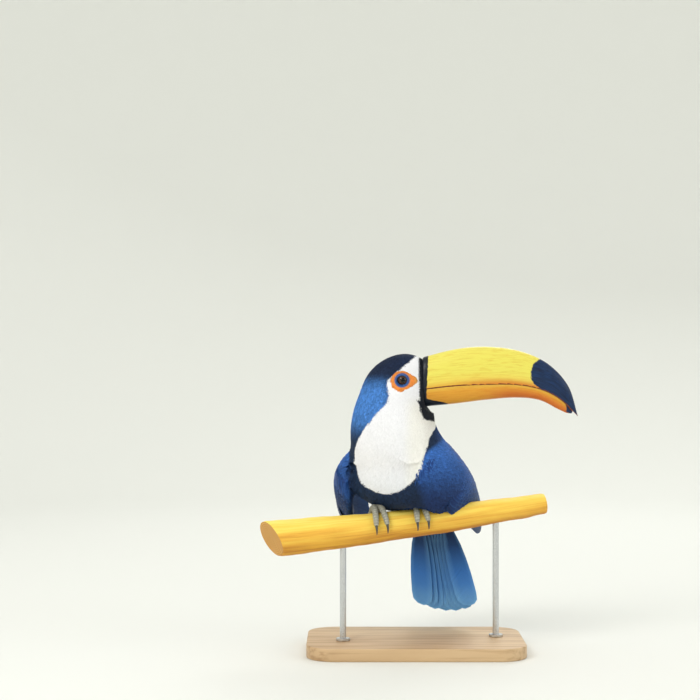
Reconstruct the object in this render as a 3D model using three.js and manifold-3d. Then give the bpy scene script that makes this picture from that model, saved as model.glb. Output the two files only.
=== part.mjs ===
// A life-size toco toucan at rest on a short cut branch, held by a plain display stand.
// Units are millimetres and +Z is up. The origin is the middle of the underside of the stand's base.
// The bird's chest faces -Y and a little to -X. Its head is turned to its left, so the bill points along +X.
// Every solid keeps a gap of 0.3 mm to its neighbours.
import * as THREE from "three";
import { mergeVertices } from "three/addons/utils/BufferGeometryUtils.js";
import Module from "manifold-3d";

const wasm = await Module();
wasm.setup();

// ---------------------------------------------------------------- driving dimensions
const GAP = 0.3;

const BASE = { width: 276, depth: 168, thickness: 16, corner: 36, bevel: 1.6 };
const ROD = { radius: 4, collar: 9, collarHeight: 3, sides: 12, at: [-92, 104] };

// The branch rises and thins towards +X. Its left end is sawn off at a slant that faces the front.
const BRANCH = {
  height: 163.5,
  rise: 0.116,
  bow: 0.00012,
  depth: -8,
  slant: 0.15,
  radius: 18.6,
  taper: 0.027,
  ends: [-182, 168],
  sawTurn: 21,
  sawTilt: 17,
};

// The bird's own frame: x forward, y to its left, z up, from the top of the branch between its feet.
const BIRD = { perchX: -20, yaw: 24, legSpread: 26 };
// The head's frame: x towards the bill, y to the head's left, z up, from the middle of the head.
const HEAD = { at: [-24, -14, 342], turn: -4 };
// How far apart two lumps of the body still melt into each other, and how steeply the trunk stands.
const COAT_BLEND = 9;
const TRUNK_PITCH = 53;

// The bill's side view in the head's frame: its ridge, cutting edge and lower edge, each from base to tip.
const BILL = {
  base: 35.5,
  halfWidth: 19,
  ridge: [[20, 29], [75, 43], [118, 46], [158, 40], [192, 24], [217, -4], [229, -42]],
  cuttingEdge: [[20, -9], [72, -3], [112, -1], [150, -1], [182, -7], [207, -20], [229, -42]],
  lowerEdge: [[20, -31], [72, -26], [112, -21], [150, -18], [180, -21], [203, -32], [220, -40]],
  lowerReach: 0.95,
  chinTop: -32,
  chinSlope: 30,
};
const EYE = { x: 8, z: 4, radius: 8, proud: 1.4 };

// A wing from its bend to its tip, in the bird's frame with y outwards. The right wing hangs lower and wider.
const WING = {
  left: { bend: [28, 48, 74], tip: [-140, 64, -34] },
  right: { bend: [18, 72, 56], tip: [-124, 82, -46] },
  breadthAbove: 56,
  breadthBelow: 44,
  bulge: 25,
  roundness: 50,
};
const TAIL = { root: [-64, 18, 4], tip: [-124, 22, -145], rootHalf: 20, tipHalf: 48, feathers: 10 };

const TOE = { length: 32, radius: 4.1, claw: 14, spread: 7 };
const SHANK = { radius: 4.8, top: 26 };

const COLOURS = {
  black: 0x0f1c33,
  white: 0xf2f1ec,
  billYellow: 0xe8d34a,
  billOrange: 0xdc8a2c,
  eye: 0x120c08,
  foot: 0x8b8f96,
  wood: 0xd9a94e,
  base: 0xcdb48c,
  steel: 0xb8bbbf,
};

// ---------------------------------------------------------------- helpers
const rad = THREE.MathUtils.degToRad;
const vec = (x, y, z) => new THREE.Vector3(x, y, z);

/** A closed solid through rings of points. point(u, v) goes along for u and round for v, both from 0 to 1.
 *  Each end ring is closed by a fan to its own middle, so a ring of no size closes to a point. */
function loft(point, rings, around) {
  const places = [];
  const faces = [];
  for (let i = 0; i <= rings; i++) {
    for (let j = 0; j < around; j++) places.push(point(i / rings, j / around));
  }
  const middle = (i) => {
    const sum = vec(0, 0, 0);
    for (let j = 0; j < around; j++) sum.add(places[i * around + j]);
    return places.push(sum.divideScalar(around)) - 1;
  };
  const [start, end] = [middle(0), middle(rings)];
  for (let j = 0; j < around; j++) {
    const next = (j + 1) % around;
    faces.push(start, next, j, end, rings * around + j, rings * around + next);
    for (let i = 0; i < rings; i++) {
      const [a, b] = [i * around + j, i * around + next];
      faces.push(a, b, b + around, a, b + around, a + around);
    }
  }
  const shape = new THREE.BufferGeometry().setFromPoints(places);
  shape.setIndex(faces);
  return solidOf(shape);
}

/** A three.js geometry as a manifold-3d solid, turned right side out. */
function solidOf(shape) {
  const bare = new THREE.BufferGeometry();
  bare.setAttribute("position", shape.getAttribute("position"));
  bare.setIndex(shape.index);
  const merged = mergeVertices(bare, 1e-3);
  const place = merged.getAttribute("position");
  const corners = merged.index.array;
  const faces = [];
  let volume = 0;
  for (let i = 0; i < corners.length; i += 3) {
    const [a, b, c] = corners.slice(i, i + 3);
    if (a === b || b === c || a === c) continue;
    faces.push(a, b, c);
    const [p, q, r] = [a, b, c].map((n) => new THREE.Vector3().fromBufferAttribute(place, n));
    volume += p.dot(q.cross(r));
  }
  if (volume < 0) faces.reverse();
  return new wasm.Manifold(
    new wasm.Mesh({ numProp: 3, vertProperties: place.array, triVerts: new Uint32Array(faces) }),
  );
}

/** A manifold-3d solid as a named mesh. */
function part(name, solid, colour, roughness = 0.6, metalness = 0) {
  const made = solid.getMesh();
  const shape = new THREE.BufferGeometry();
  shape.setAttribute("position", new THREE.BufferAttribute(made.vertProperties, 3));
  shape.setIndex(new THREE.BufferAttribute(made.triVerts, 1));
  shape.computeVertexNormals();
  const mesh = new THREE.Mesh(shape, new THREE.MeshStandardMaterial({ color: colour, roughness, metalness }));
  mesh.name = name;
  return mesh;
}

/** Keeps the side of a solid that the normal points to, past a point on the plane. */
function keepSide(solid, normal, point) {
  const n = normal.clone().normalize();
  return solid.trimByPlane(n.toArray(), n.dot(point));
}

// ---------------------------------------------------------------- branch
/** The middle of the branch at a place along X. */
function branchMiddle(x) {
  return vec(x, BRANCH.depth + BRANCH.slant * x, BRANCH.height + BRANCH.rise * x + BRANCH.bow * x * x);
}

const branchRadius = (x) => BRANCH.radius - BRANCH.taper * x;

/** Three directions at a place on the branch: along it, to the front, and up. */
function branchAxes(x) {
  const along = branchMiddle(x + 1).sub(branchMiddle(x - 1)).normalize();
  const front = vec(0, 0, 1).cross(along).negate().normalize();
  return { along, front, up: along.clone().cross(front).negate() };
}

/** The branch, or the same shape grown by a margin that a foot or the belly keeps to it. */
function branchSolid(grow, rings) {
  const reach = 24;
  const [low, high] = [BRANCH.ends[0] - reach, BRANCH.ends[1] + reach];
  return loft(
    (u, v) => {
      const x = THREE.MathUtils.lerp(low, high, u);
      const { front, up } = branchAxes(x);
      const r = branchRadius(x) + grow;
      const angle = v * 2 * Math.PI;
      return branchMiddle(x)
        .addScaledVector(front, r * Math.cos(angle))
        .addScaledVector(up, r * Math.sin(angle));
    },
    rings,
    20,
  );
}

function sawnBranch() {
  const [left, right] = BRANCH.ends;
  const { along, front } = branchAxes(left);
  const tilted = along.applyAxisAngle(front, rad(BRANCH.sawTilt));
  const slanted = tilted.applyAxisAngle(vec(0, 0, 1), rad(BRANCH.sawTurn));
  let branch = keepSide(branchSolid(0, 14), slanted, branchMiddle(left));
  branch = keepSide(branch, branchAxes(right).along.negate(), branchMiddle(right));
  for (const x of ROD.at) {
    const socket = new THREE.CylinderGeometry(ROD.radius + GAP, ROD.radius + GAP, 60, ROD.sides);
    socket.rotateX(Math.PI / 2).translate(x, branchMiddle(x).y, branchMiddle(x).z - 30);
    branch = branch.subtract(solidOf(socket));
  }
  return branch;
}

// ---------------------------------------------------------------- stand
function standBase() {
  const { width, depth, thickness, corner, bevel } = BASE;
  const [w, d] = [width / 2 - bevel, depth / 2 - bevel];
  const outline = new THREE.Shape();
  outline.absarc(w - corner, d - corner, corner, 0, Math.PI / 2);
  outline.absarc(corner - w, d - corner, corner, Math.PI / 2, Math.PI);
  outline.absarc(corner - w, corner - d, corner, Math.PI, 1.5 * Math.PI);
  outline.absarc(w - corner, corner - d, corner, 1.5 * Math.PI, 2 * Math.PI);
  const plate = new THREE.ExtrudeGeometry(outline, {
    depth: thickness - 2 * bevel,
    bevelSize: bevel,
    bevelThickness: bevel,
    bevelSegments: 2,
    curveSegments: 5,
  });
  return solidOf(plate.translate(0, 0, bevel));
}

/** A round rod with a low collar that stands on the base, and its top in the branch's socket. */
function standRod(x) {
  const foot = BASE.thickness + GAP;
  const top = branchMiddle(x).z - GAP;
  const profile = [
    [0, foot],
    [ROD.collar, foot],
    [ROD.collar, foot + ROD.collarHeight],
    [ROD.radius, foot + ROD.collarHeight],
    [ROD.radius, top],
    [0, top],
  ].map(([r, z]) => new THREE.Vector2(r, z));
  const rod = new THREE.LatheGeometry(profile, ROD.sides).rotateX(Math.PI / 2);
  return solidOf(rod.translate(x, branchMiddle(x).y, 0));
}

// ---------------------------------------------------------------- the bird's frames
const { up: perchUp } = branchAxes(BIRD.perchX);
const perch = branchMiddle(BIRD.perchX).addScaledVector(perchUp, branchRadius(BIRD.perchX));

/** A frame with x turned from +X by an angle about Z. */
function frameAt(point, degrees) {
  return new THREE.Matrix4().makeRotationZ(rad(degrees)).setPosition(point);
}

const birdFrame = frameAt(perch, -90 - BIRD.yaw);
const headFrame = frameAt(vec(...HEAD.at), HEAD.turn);
const inBird = (x, y, z) => vec(x, y, z).applyMatrix4(birdFrame);
const birdLeft = inBird(0, 1, 0).sub(inBird(0, 0, 0));
const inHead = (x, y, z) => vec(x, y, z).applyMatrix4(headFrame);
const billWay = inHead(1, 0, 0).sub(inHead(0, 0, 0));
const headLeft = inHead(0, 1, 0).sub(inHead(0, 0, 0));

// ---------------------------------------------------------------- body
// The body is rounded lumps that melt into one surface.
/** An ellipsoid in a frame: size is its half length along an axis pitched up from x, then its half width
 *  and its half depth. */
function lump(frame, at, size, pitch = 0) {
  const place = new THREE.Matrix4().makeRotationY(-rad(pitch)).setPosition(vec(...at));
  return { inverse: frame.clone().multiply(place).invert(), size: vec(...size) };
}

const bodyLumps = [
  lump(birdFrame, [-24, -3, 60], [74, 50, 44], TRUNK_PITCH),
  lump(birdFrame, [8, -3, 88], [48, 50, 40], 66),
  lump(birdFrame, [1, -6, 30], [38, 46, 27], 30),
  lump(birdFrame, [-66, 2, 8], [44, 30, 22], 62),
  lump(birdFrame, [8, -8, 113], [42, 41, 37], 90),
  lump(headFrame, [-5, 0, 4], [34, 20, 25], 30),
  lump(headFrame, [18, 0, 2], [28, 16, 29]),
  lump(headFrame, [-14, 0, -28], [32, 25, 26], 60),
  lump(headFrame, [2, 0, -44], [29, 25, 26], 60),
  lump(headFrame, [28, 0, -24], [16, 13, 12], -20),
];

/** Roughly the distance from a point to the body's surface, negative inside. */
function bodyDistance(point) {
  let sum = 0;
  for (const { inverse, size } of bodyLumps) {
    const p = point.clone().applyMatrix4(inverse);
    const near = p.clone().divide(size);
    const slope = near.clone().divide(size).length();
    const k = near.length();
    const distance = slope > 1e-9 ? (k * (k - 1)) / slope : -size.z;
    sum += Math.exp(-distance / COAT_BLEND);
  }
  return -COAT_BLEND * Math.log(sum);
}

const spine = new THREE.CatmullRomCurve3([
  inBird(-74, 0, 0),
  inBird(-44, 0, 36),
  inBird(-12, 0, 80),
  inBird(8, 0, 120),
  inHead(0, 0, 4),
]);
const SPINE_CAP = 0.2;

/** The body's surface: rays that go out from the spine, and fan round its two ends. */
function bodyPoint(u, v, level) {
  const t = THREE.MathUtils.clamp((u - SPINE_CAP) / (1 - 2 * SPINE_CAP), 0, 1);
  const from = spine.getPoint(t);
  const along = spine.getTangent(t);
  const side = birdLeft.clone().addScaledVector(along, -birdLeft.dot(along)).normalize();
  const front = side.clone().cross(along);
  const angle = v * 2 * Math.PI;
  const out = front.multiplyScalar(Math.cos(angle)).addScaledVector(side, Math.sin(angle));
  const lean = Math.max(0, 1 - u / SPINE_CAP, (u - 1) / SPINE_CAP + 1) * (Math.PI / 2);
  out.multiplyScalar(Math.cos(lean)).addScaledVector(along, Math.sin(lean) * (u < 0.5 ? -1 : 1));
  let [low, high] = [0, 150];
  for (let i = 0; i < 30; i++) {
    const half = (low + high) / 2;
    if (bodyDistance(from.clone().addScaledVector(out, half)) < level) low = half;
    else high = half;
  }
  return from.addScaledVector(out, low);
}

const bodySolid = (level) => loft((u, v) => bodyPoint(u, v, level), 28, 28);

// ---------------------------------------------------------------- bill
const sideCurve = (points) => new THREE.CatmullRomCurve3(points.map(([x, z]) => inHead(x, 0, z)));
const [ridge, cuttingEdge, lowerEdge] = [BILL.ridge, BILL.cuttingEdge, BILL.lowerEdge].map(sideCurve);

/** One mandible: sections from the cutting edge out to its far edge, arched over the far edge and flat across
 *  the palate. The lower one stops a little short of the upper one's tip. */
function mandible(farEdge, reach) {
  const archShare = 0.72;
  const whole = loft(
    (u, v) => {
      const s = Math.sin((u * Math.PI) / 2);
      const middle = cuttingEdge.getPoint(s * reach);
      const out = farEdge.getPoint(s).sub(middle);
      const height = out.length();
      if (height > 0) out.divideScalar(height);
      const angle = Math.min(v / archShare, 1) * Math.PI;
      const across = v < archShare ? Math.cos(angle) : (2 * (v - archShare)) / (1 - archShare) - 1;
      const halfWidth = BILL.halfWidth * (1 - (s * 0.995) ** 1.7) ** 0.8;
      return middle
        .addScaledVector(headLeft, halfWidth * Math.sign(across) * Math.abs(across) ** 0.75)
        .addScaledVector(out, GAP / 2 + (v < archShare ? height * Math.sin(angle) ** 0.9 : 0));
    },
    16,
    16,
  );
  return keepSide(whole, billWay, inHead(BILL.base, 0, 0));
}

// ---------------------------------------------------------------- eyes
/** The middle of an eyeball: as deep in the head as leaves its front a little proud of the coat. */
function eyeMiddle(side) {
  let y = 0;
  while (bodyDistance(inHead(EYE.x, side * y, EYE.z)) < 0) y += 0.2;
  return inHead(EYE.x, side * (y + EYE.proud - EYE.radius), EYE.z);
}

function ball(middle, radius, columns, rows) {
  return solidOf(new THREE.SphereGeometry(radius, columns, rows).translate(...middle));
}

// ---------------------------------------------------------------- wings
/** A folded wing: a leaf-shaped blade from its bend to its tip, arched round the side of the body. */
function wingSolid(side) {
  const place = side > 0 ? WING.left : WING.right;
  const bend = inBird(place.bend[0], side * place.bend[1], place.bend[2]);
  const tip = inBird(place.tip[0], side * place.tip[1], place.tip[2]);
  const along = tip.clone().sub(bend);
  const length = along.length();
  along.divideScalar(length);
  const out = birdLeft.clone().multiplyScalar(side);
  out.addScaledVector(along, -out.dot(along)).normalize();
  const up = out.clone().cross(along).multiplyScalar(side);
  return loft(
    (u, v) => {
      const s = 0.5 - 0.5 * Math.cos(u * Math.PI);
      const leaf = Math.max(0, Math.sin(Math.PI * s ** 0.544)) ** 0.75;
      const around = v * 2 * Math.PI;
      const breadth = Math.cos(around) > 0 ? WING.breadthAbove : WING.breadthBelow;
      const across = breadth * leaf * Math.cos(around);
      const thick = THREE.MathUtils.lerp(24, 2, THREE.MathUtils.smoothstep(s, 0.35, 0.9));
      const bulge = WING.bulge * Math.sin(Math.PI * (0.08 + 0.92 * s));
      const depth = bulge - across ** 2 / (2 * WING.roundness) - (1 - Math.sin(around)) * 0.5 * thick;
      return bend
        .clone()
        .addScaledVector(along, s * length)
        .addScaledVector(up, across)
        .addScaledVector(out, depth);
    },
    14,
    14,
  );
}

// ---------------------------------------------------------------- tail
/** The closed fan of tail feathers: flat, a little arched, and scalloped at the end by their round tips. */
function tailSolid() {
  const root = inBird(...TAIL.root);
  const tip = inBird(...TAIL.tip);
  const along = tip.clone().sub(root);
  const length = along.length();
  along.divideScalar(length);
  const side = birdLeft.clone().addScaledVector(along, -birdLeft.dot(along)).normalize();
  const back = side.clone().cross(along);
  return loft(
    (u, v) => {
      const across = Math.abs(4 * v - 2) - 1;
      const face = Math.sign(0.5 - v);
      const scallop = Math.abs(Math.sin(((across + 1) / 2) * TAIL.feathers * Math.PI));
      const reach = length * (1 - 0.07 * across ** 2) + 3 * u * (scallop - 1);
      const half = THREE.MathUtils.lerp(TAIL.rootHalf, TAIL.tipHalf, u ** 0.8);
      const thick = THREE.MathUtils.lerp(7, 1.8, u) * Math.sqrt(1 - across ** 2);
      return root
        .clone()
        .addScaledVector(along, u * reach)
        .addScaledVector(side, half * across)
        .addScaledVector(back, face * thick - 4 * u * across ** 2);
    },
    7,
    4 * TAIL.feathers,
  );
}

// ---------------------------------------------------------------- legs and feet
/** A tube of round rings through a path of points, closed by round ends. */
function tube(path, radius, rings, around) {
  const across = vec(0, 0, 1).cross(path.getTangent(0.5)).normalize();
  return loft(
    (u, v) => {
      const t = 0.5 - 0.5 * Math.cos(u * Math.PI);
      const along = path.getTangent(t);
      const side = across.clone().addScaledVector(along, -across.dot(along)).normalize();
      const other = along.clone().cross(side);
      const r = radius(t) * Math.sqrt(Math.max(0, 1 - (2 * t - 1) ** 8));
      return path
        .getPoint(t)
        .addScaledVector(side, r * Math.cos(v * 2 * Math.PI))
        .addScaledVector(other, r * Math.sin(v * 2 * Math.PI));
    },
    rings,
    around,
  );
}

/** A toe with its claw, bent round the branch from its top. way is 1 for a front toe, -1 for a back one. */
function toe(x, way, sidestep, grow) {
  const place = (arc, lift) => {
    const at = x + sidestep * (0.55 + 0.45 * Math.min(1, arc));
    const { front, up } = branchAxes(at);
    const r = branchRadius(at) + lift;
    const angle = arc * (TOE.length / (branchRadius(x) + TOE.radius));
    return branchMiddle(at)
      .addScaledVector(up, r * Math.cos(angle))
      .addScaledVector(front, way * r * Math.sin(angle));
  };
  const clawArc = TOE.claw / TOE.length;
  const path = new THREE.CatmullRomCurve3([
    place(-0.1, TOE.radius + 2.5),
    place(0.3, TOE.radius + 0.8),
    place(0.65, TOE.radius),
    place(1, TOE.radius),
    place(1 + clawArc * 0.5, TOE.radius + 0.4),
    place(1 + clawArc, 1),
  ]);
  const clawRoot = 1 / (1.1 + clawArc);
  const clawPoint = 0.08;
  const thin = (t) => (t < clawRoot ? 1 - 0.2 * t : Math.max(clawPoint, (0.6 * (1 - t)) / (1 - clawRoot)));
  return tube(path, (t) => TOE.radius * thin(t) + grow, 10, 8);
}

/** A short shank that comes out of the belly, and a foot with two toes to the front and two to the back. grow
 *  makes it larger all round, for the room that the belly leaves it. */
function leg(side, grow) {
  const x = BIRD.perchX + side * BIRD.legSpread;
  const { up } = branchAxes(x);
  const ankle = branchMiddle(x).addScaledVector(up, branchRadius(x) + SHANK.radius + 1);
  const knee = inBird(-10, side * (BIRD.legSpread - 3), SHANK.top);
  const sunk = ankle.clone().addScaledVector(up, -3);
  const shin = new THREE.CatmullRomCurve3([sunk, ankle.clone().lerp(knee, 0.5), knee]);
  let made = tube(shin, () => SHANK.radius + grow, 5, 8);
  for (const way of [1, -1]) {
    for (const step of [-1, 1]) made = made.add(toe(x, way, step * TOE.spread, grow));
  }
  return made.subtract(branchSolid(GAP, 20));
}

// ---------------------------------------------------------------- assembly
const toucan = new THREE.Group();

const clearOfBody = bodySolid(GAP);
const clearOfBranch = branchSolid(GAP, 20);
const legs = [1, -1].map((side) => leg(side, 0));
const eyes = [1, -1].map((side) => eyeMiddle(side));

// The bill stands on a flat face of the head, and the feathers of the chin slope away under it.
const roomSize = 120;
const chinTop = inHead(BILL.base, 0, BILL.chinTop);
const roomBox = new THREE.BoxGeometry(roomSize, roomSize, 2 * roomSize).applyMatrix4(headFrame);
const billRoom = keepSide(
  solidOf(roomBox.translate(...billWay.clone().multiplyScalar(BILL.base - GAP + roomSize / 2))),
  inHead(Math.sin(rad(BILL.chinSlope)), 0, Math.cos(rad(BILL.chinSlope))).sub(inHead(0, 0, 0)),
  chinTop,
);

let body = bodySolid(0).subtract(clearOfBranch).subtract(billRoom);
for (const middle of eyes) body = body.subtract(ball(middle, EYE.radius + GAP, 14, 10));
for (const side of [1, -1]) body = body.subtract(leg(side, GAP));

// Thin cuts part the body into head, neck and trunk.
const cutAbove = (normal, point) => keepSide(body, normal, point.clone().addScaledVector(normal, GAP / 2));
const cutBelow = (solid, normal, point) =>
  keepSide(solid, normal.clone().negate(), point.clone().addScaledVector(normal, -GAP / 2));
const [chin, chinTilt] = [inHead(10, 0, -46), vec(0.08, 0, 1).normalize()];
const [collar, collarTilt] = [inBird(14, 0, 88), inBird(0.06, 0, 1).sub(inBird(0, 0, 0)).normalize()];
const head = cutAbove(chinTilt, chin);
const neck = cutBelow(cutAbove(collarTilt, collar), chinTilt, chin);
const trunk = cutBelow(body, collarTilt, collar);

toucan.add(part("head", head, COLOURS.white));
toucan.add(part("neck", neck, COLOURS.white));
toucan.add(part("trunk", trunk, COLOURS.black));
toucan.add(part("bill_upper", mandible(ridge, 1), COLOURS.billYellow, 0.35));
toucan.add(part("bill_lower", mandible(lowerEdge, BILL.lowerReach), COLOURS.billOrange, 0.35));
toucan.add(part("tail", tailSolid().subtract(clearOfBody).subtract(clearOfBranch), COLOURS.black));
["left", "right"].forEach((name, i) => {
  const wing = wingSolid(i ? -1 : 1);
  toucan.add(part(`eye_${name}`, ball(eyes[i], EYE.radius, 14, 10), COLOURS.eye, 0.1));
  toucan.add(part(`wing_${name}`, wing.subtract(clearOfBody).subtract(clearOfBranch), COLOURS.black));
  toucan.add(part(`leg_${name}`, legs[i], COLOURS.foot, 0.7));
  toucan.add(part(`stand_rod_${name}`, standRod(ROD.at[1 - i]), COLOURS.steel, 0.3, 1));
});
toucan.add(part("perch_branch", sawnBranch(), COLOURS.wood, 0.7));
toucan.add(part("stand_base", standBase(), COLOURS.base, 0.5));

export default toucan;
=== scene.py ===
"""A life-size toco toucan at rest on a cut branch, which a wooden base and two steel rods hold up.
Lengths are in millimetres until a mesh is made. +Z is up, the chest faces -Y and the bill points along +X.
"""

import bpy
import numpy as np
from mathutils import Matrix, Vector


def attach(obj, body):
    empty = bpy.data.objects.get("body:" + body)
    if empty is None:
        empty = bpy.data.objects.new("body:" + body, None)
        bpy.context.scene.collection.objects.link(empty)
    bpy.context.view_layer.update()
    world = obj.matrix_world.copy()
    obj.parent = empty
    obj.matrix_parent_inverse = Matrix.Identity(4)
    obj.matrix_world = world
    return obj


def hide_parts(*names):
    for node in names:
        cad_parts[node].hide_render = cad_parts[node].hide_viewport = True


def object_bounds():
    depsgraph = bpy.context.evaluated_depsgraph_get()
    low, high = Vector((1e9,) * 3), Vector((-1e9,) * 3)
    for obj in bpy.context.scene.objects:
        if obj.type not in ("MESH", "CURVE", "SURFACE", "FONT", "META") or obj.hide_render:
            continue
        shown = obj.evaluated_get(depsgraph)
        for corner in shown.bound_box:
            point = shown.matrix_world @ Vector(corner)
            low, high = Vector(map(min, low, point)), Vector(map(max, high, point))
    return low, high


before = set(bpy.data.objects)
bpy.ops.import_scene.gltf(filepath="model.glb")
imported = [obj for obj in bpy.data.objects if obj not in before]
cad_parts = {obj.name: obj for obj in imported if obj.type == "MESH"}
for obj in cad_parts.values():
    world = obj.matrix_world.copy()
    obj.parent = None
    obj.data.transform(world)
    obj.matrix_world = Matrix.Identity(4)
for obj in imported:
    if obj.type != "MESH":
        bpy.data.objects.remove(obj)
cad_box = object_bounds()

# ---------------------------------------------------------------- studio
# A pale round studio: the floor curves up into a wall that goes all the way round, so no edge shows behind
# the model. The light is soft. It comes from high on the left, from low on the right, and from the bright
# room itself.
MM = 0.001
FLOOR_RADIUS, WALL_CURVE, WALL_HEIGHT = 3400, 1300, 4200
WALL_COLOUR = (0.80, 0.81, 0.775, 1)
AIR_COLOUR, AIR_STRENGTH = (1.0, 0.99, 0.97, 1), 0.90
ROOM_AROUND = 96
CAMERA_AT, CAMERA_LENS = (-0.0832, -2.116, 0.384), 85
# Each square lamp's name, its place, its power and its colour, and how wide they all are.
LAMPS = (
    ("key_light", (-1.5, -1.9, 2.1), 40, (1.0, 0.985, 0.96)),
    ("side_light", (2.0, -1.0, 1.1), 9, (0.95, 0.98, 1.0)),
    ("back_light", (0.6, 2.0, 1.9), 16, (1.0, 1.0, 1.0)),
)
LAMP_SIZE = 1.2


def smooth(low, high, x):
    """0 below low and 1 above high, with an S-shaped rise between: 3 t squared less 2 t cubed."""
    t = np.clip((np.asarray(x, float) - low) / (high - low), 0, 1)
    return t * t * (3 - 2 * t)


def mix(a, b, t):
    """a where t is 0 and b where t is 1."""
    return a + (b - a) * t


def unit(v):
    """The same directions, one long."""
    return v / np.maximum(np.linalg.norm(v, axis=-1, keepdims=True), 1e-9)


def stack3(x, y, z):
    """Points from their three coordinates."""
    return np.stack(np.broadcast_arrays(x, y, z), -1).astype(float)


def circle(count):
    """Even angles once round a circle."""
    return np.arange(count) * 2 * np.pi / count


def crossed(rows, columns):
    """Two arrays that hold each pair of a row's value and a column's value."""
    return np.meshgrid(rows, columns, indexing="ij")


def look_up(table, at):
    """The values of a table's other columns at places in its first column."""
    first, *others = np.array(table, float).T
    return [np.interp(at, first, column) for column in others]


def halved(low, high, times, beyond):
    """Values between low and high from which beyond turns true, by halving."""
    for _ in range(times):
        half = (low + high) / 2
        over = beyond(half)
        low, high = np.where(over, low, half), np.where(over, half, high)
    return low


def add_node(tree, kind, inputs=None, **settings):
    """A new shader node. inputs maps a socket's name or number to a value or to the socket that feeds
    it."""
    node = tree.nodes.new("ShaderNode" + kind)
    for key, value in settings.items():
        setattr(node, key, value)
    for key, value in (inputs or {}).items():
        if isinstance(value, bpy.types.NodeSocket):
            tree.links.new(value, node.inputs[key])
        else:
            node.inputs[key].default_value = value
    return node


def new_material(name, **sockets):
    """A material with one Principled shader, whose inputs are named with _ for a space. Returns the
    material, its node tree and the shader."""
    material = bpy.data.materials.new(name)
    material.use_nodes = True
    shader = material.node_tree.nodes["Principled BSDF"]
    for socket, value in sockets.items():
        shader.inputs[socket.replace("_", " ")].default_value = value
    return material, material.node_tree, shader


def mesh_piece(name, points, faces, material, uv=None, values=None, sharp=50):
    """A mesh object from points in millimetres and faces with the same number of corners each. uv maps a
    map's name to a place for each point, and values maps an attribute's name to a number or a colour for
    each point. Edges that turn by more than sharp degrees are creases."""
    points, faces = np.asarray(points, float).reshape(-1, 3), np.asarray(faces)
    mesh = bpy.data.meshes.new(name)
    mesh.vertices.add(len(points))
    mesh.vertices.foreach_set("co", (points * MM).ravel())
    mesh.loops.add(faces.size)
    mesh.loops.foreach_set("vertex_index", faces.ravel())
    mesh.polygons.add(len(faces))
    mesh.polygons.foreach_set("loop_start", np.arange(len(faces)) * faces.shape[1])
    mesh.update(calc_edges=True)
    mesh.polygons.foreach_set("use_smooth", np.ones(len(faces), bool))
    mesh.set_sharp_from_angle(angle=np.radians(sharp))
    for map_name, place in (uv or {}).items():
        layer = mesh.uv_layers.new(name=map_name)
        layer.data.foreach_set("uv", place[faces.ravel()].ravel())
    for value_name, value in (values or {}).items():
        if value.shape[-1] == 3:
            value = np.hstack([value, np.ones((len(points), 1))])
            mesh.attributes.new(value_name, "FLOAT_COLOR", "POINT").data.foreach_set("color", value.ravel())
        else:
            mesh.attributes.new(value_name, "FLOAT", "POINT").data.foreach_set("value", value.ravel())
    mesh.materials.append(material)
    piece = bpy.data.objects.new(name, mesh)
    bpy.context.scene.collection.objects.link(piece)
    return piece


def ring_faces(rows, columns, closed=False):
    """Faces of four corners between neighbouring rings of points. closed joins the last ring to the
    first."""
    corner = np.arange(rows * columns).reshape(rows, columns)
    right = np.roll(corner, -1, 1)
    faces = np.stack([corner, right, np.roll(right, -1, 0), np.roll(corner, -1, 0)], -1)
    return faces[:rows if closed else -1].reshape(-1, 4)


def tube_shape(rings):
    """Points and outward triangles of closed tubes, from rings of points (tube, ring, place round it). The
    first and the last ring of each tube are one point. Also returns which of the points are used."""
    tubes, count, around = rings.shape[:3]
    index = np.arange(tubes * count * around).reshape(tubes, count, around)
    index[:, [0, -1]] = index[:, [0, -1], :1]
    right = np.roll(index, -1, 2)
    a, b, c, d = index[:, :-1], right[:, :-1], right[:, 1:], index[:, 1:]
    faces = np.concatenate([np.stack(corners, -1).reshape(-1, 3) for corners in ((a, b, c), (a, c, d))])
    faces = faces[(faces != np.roll(faces, 1, 1)).all(1)]
    points = rings.reshape(-1, 3)
    p, q, r = (points[faces[:, k]] for k in range(3))
    if np.sum(p * np.cross(q, r)) < 0:
        faces = faces[:, ::-1]
    used, faces = np.unique(faces, return_inverse=True)
    return points[used], faces.reshape(-1, 3), used


def tube_piece(name, rings, material, uv=None, values=None, sharp=50):
    """A piece made of closed tubes, from their rings and from values at the same places."""
    rings = rings.reshape((-1,) + rings.shape[-3:])
    points, faces, used = tube_shape(rings)

    def at_points(named):
        shape = rings.shape[:3]
        return {key: np.broadcast_to(value, shape + value.shape[-1:]).reshape(np.prod(shape), -1)[used]
                for key, value in (named or {}).items()}

    return mesh_piece(name, points, faces, material, at_points(uv), at_points(values), sharp)


def spun(profile, around):
    """Rings of a surface of revolution: (radius, height) pairs carried round the Z axis."""
    angle = circle(around)
    r, z = np.asarray(profile, float).T[:, :, None]
    return stack3(r * np.cos(angle), r * np.sin(angle), z)


bend = np.linspace(0, np.pi / 2, 24)
room_profile = np.vstack([
    [[0, 0]],
    np.stack([FLOOR_RADIUS - WALL_CURVE + WALL_CURVE * np.sin(bend), WALL_CURVE * (1 - np.cos(bend))], 1),
    [[FLOOR_RADIUS, WALL_HEIGHT]],
])
wall_material = new_material("studio_wall", Base_Color=WALL_COLOUR, Roughness=0.9)[0]
room = mesh_piece("studio", spun(room_profile, ROOM_AROUND), ring_faces(len(room_profile), ROOM_AROUND),
                  wall_material)
room.visible_shadow = False

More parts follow.
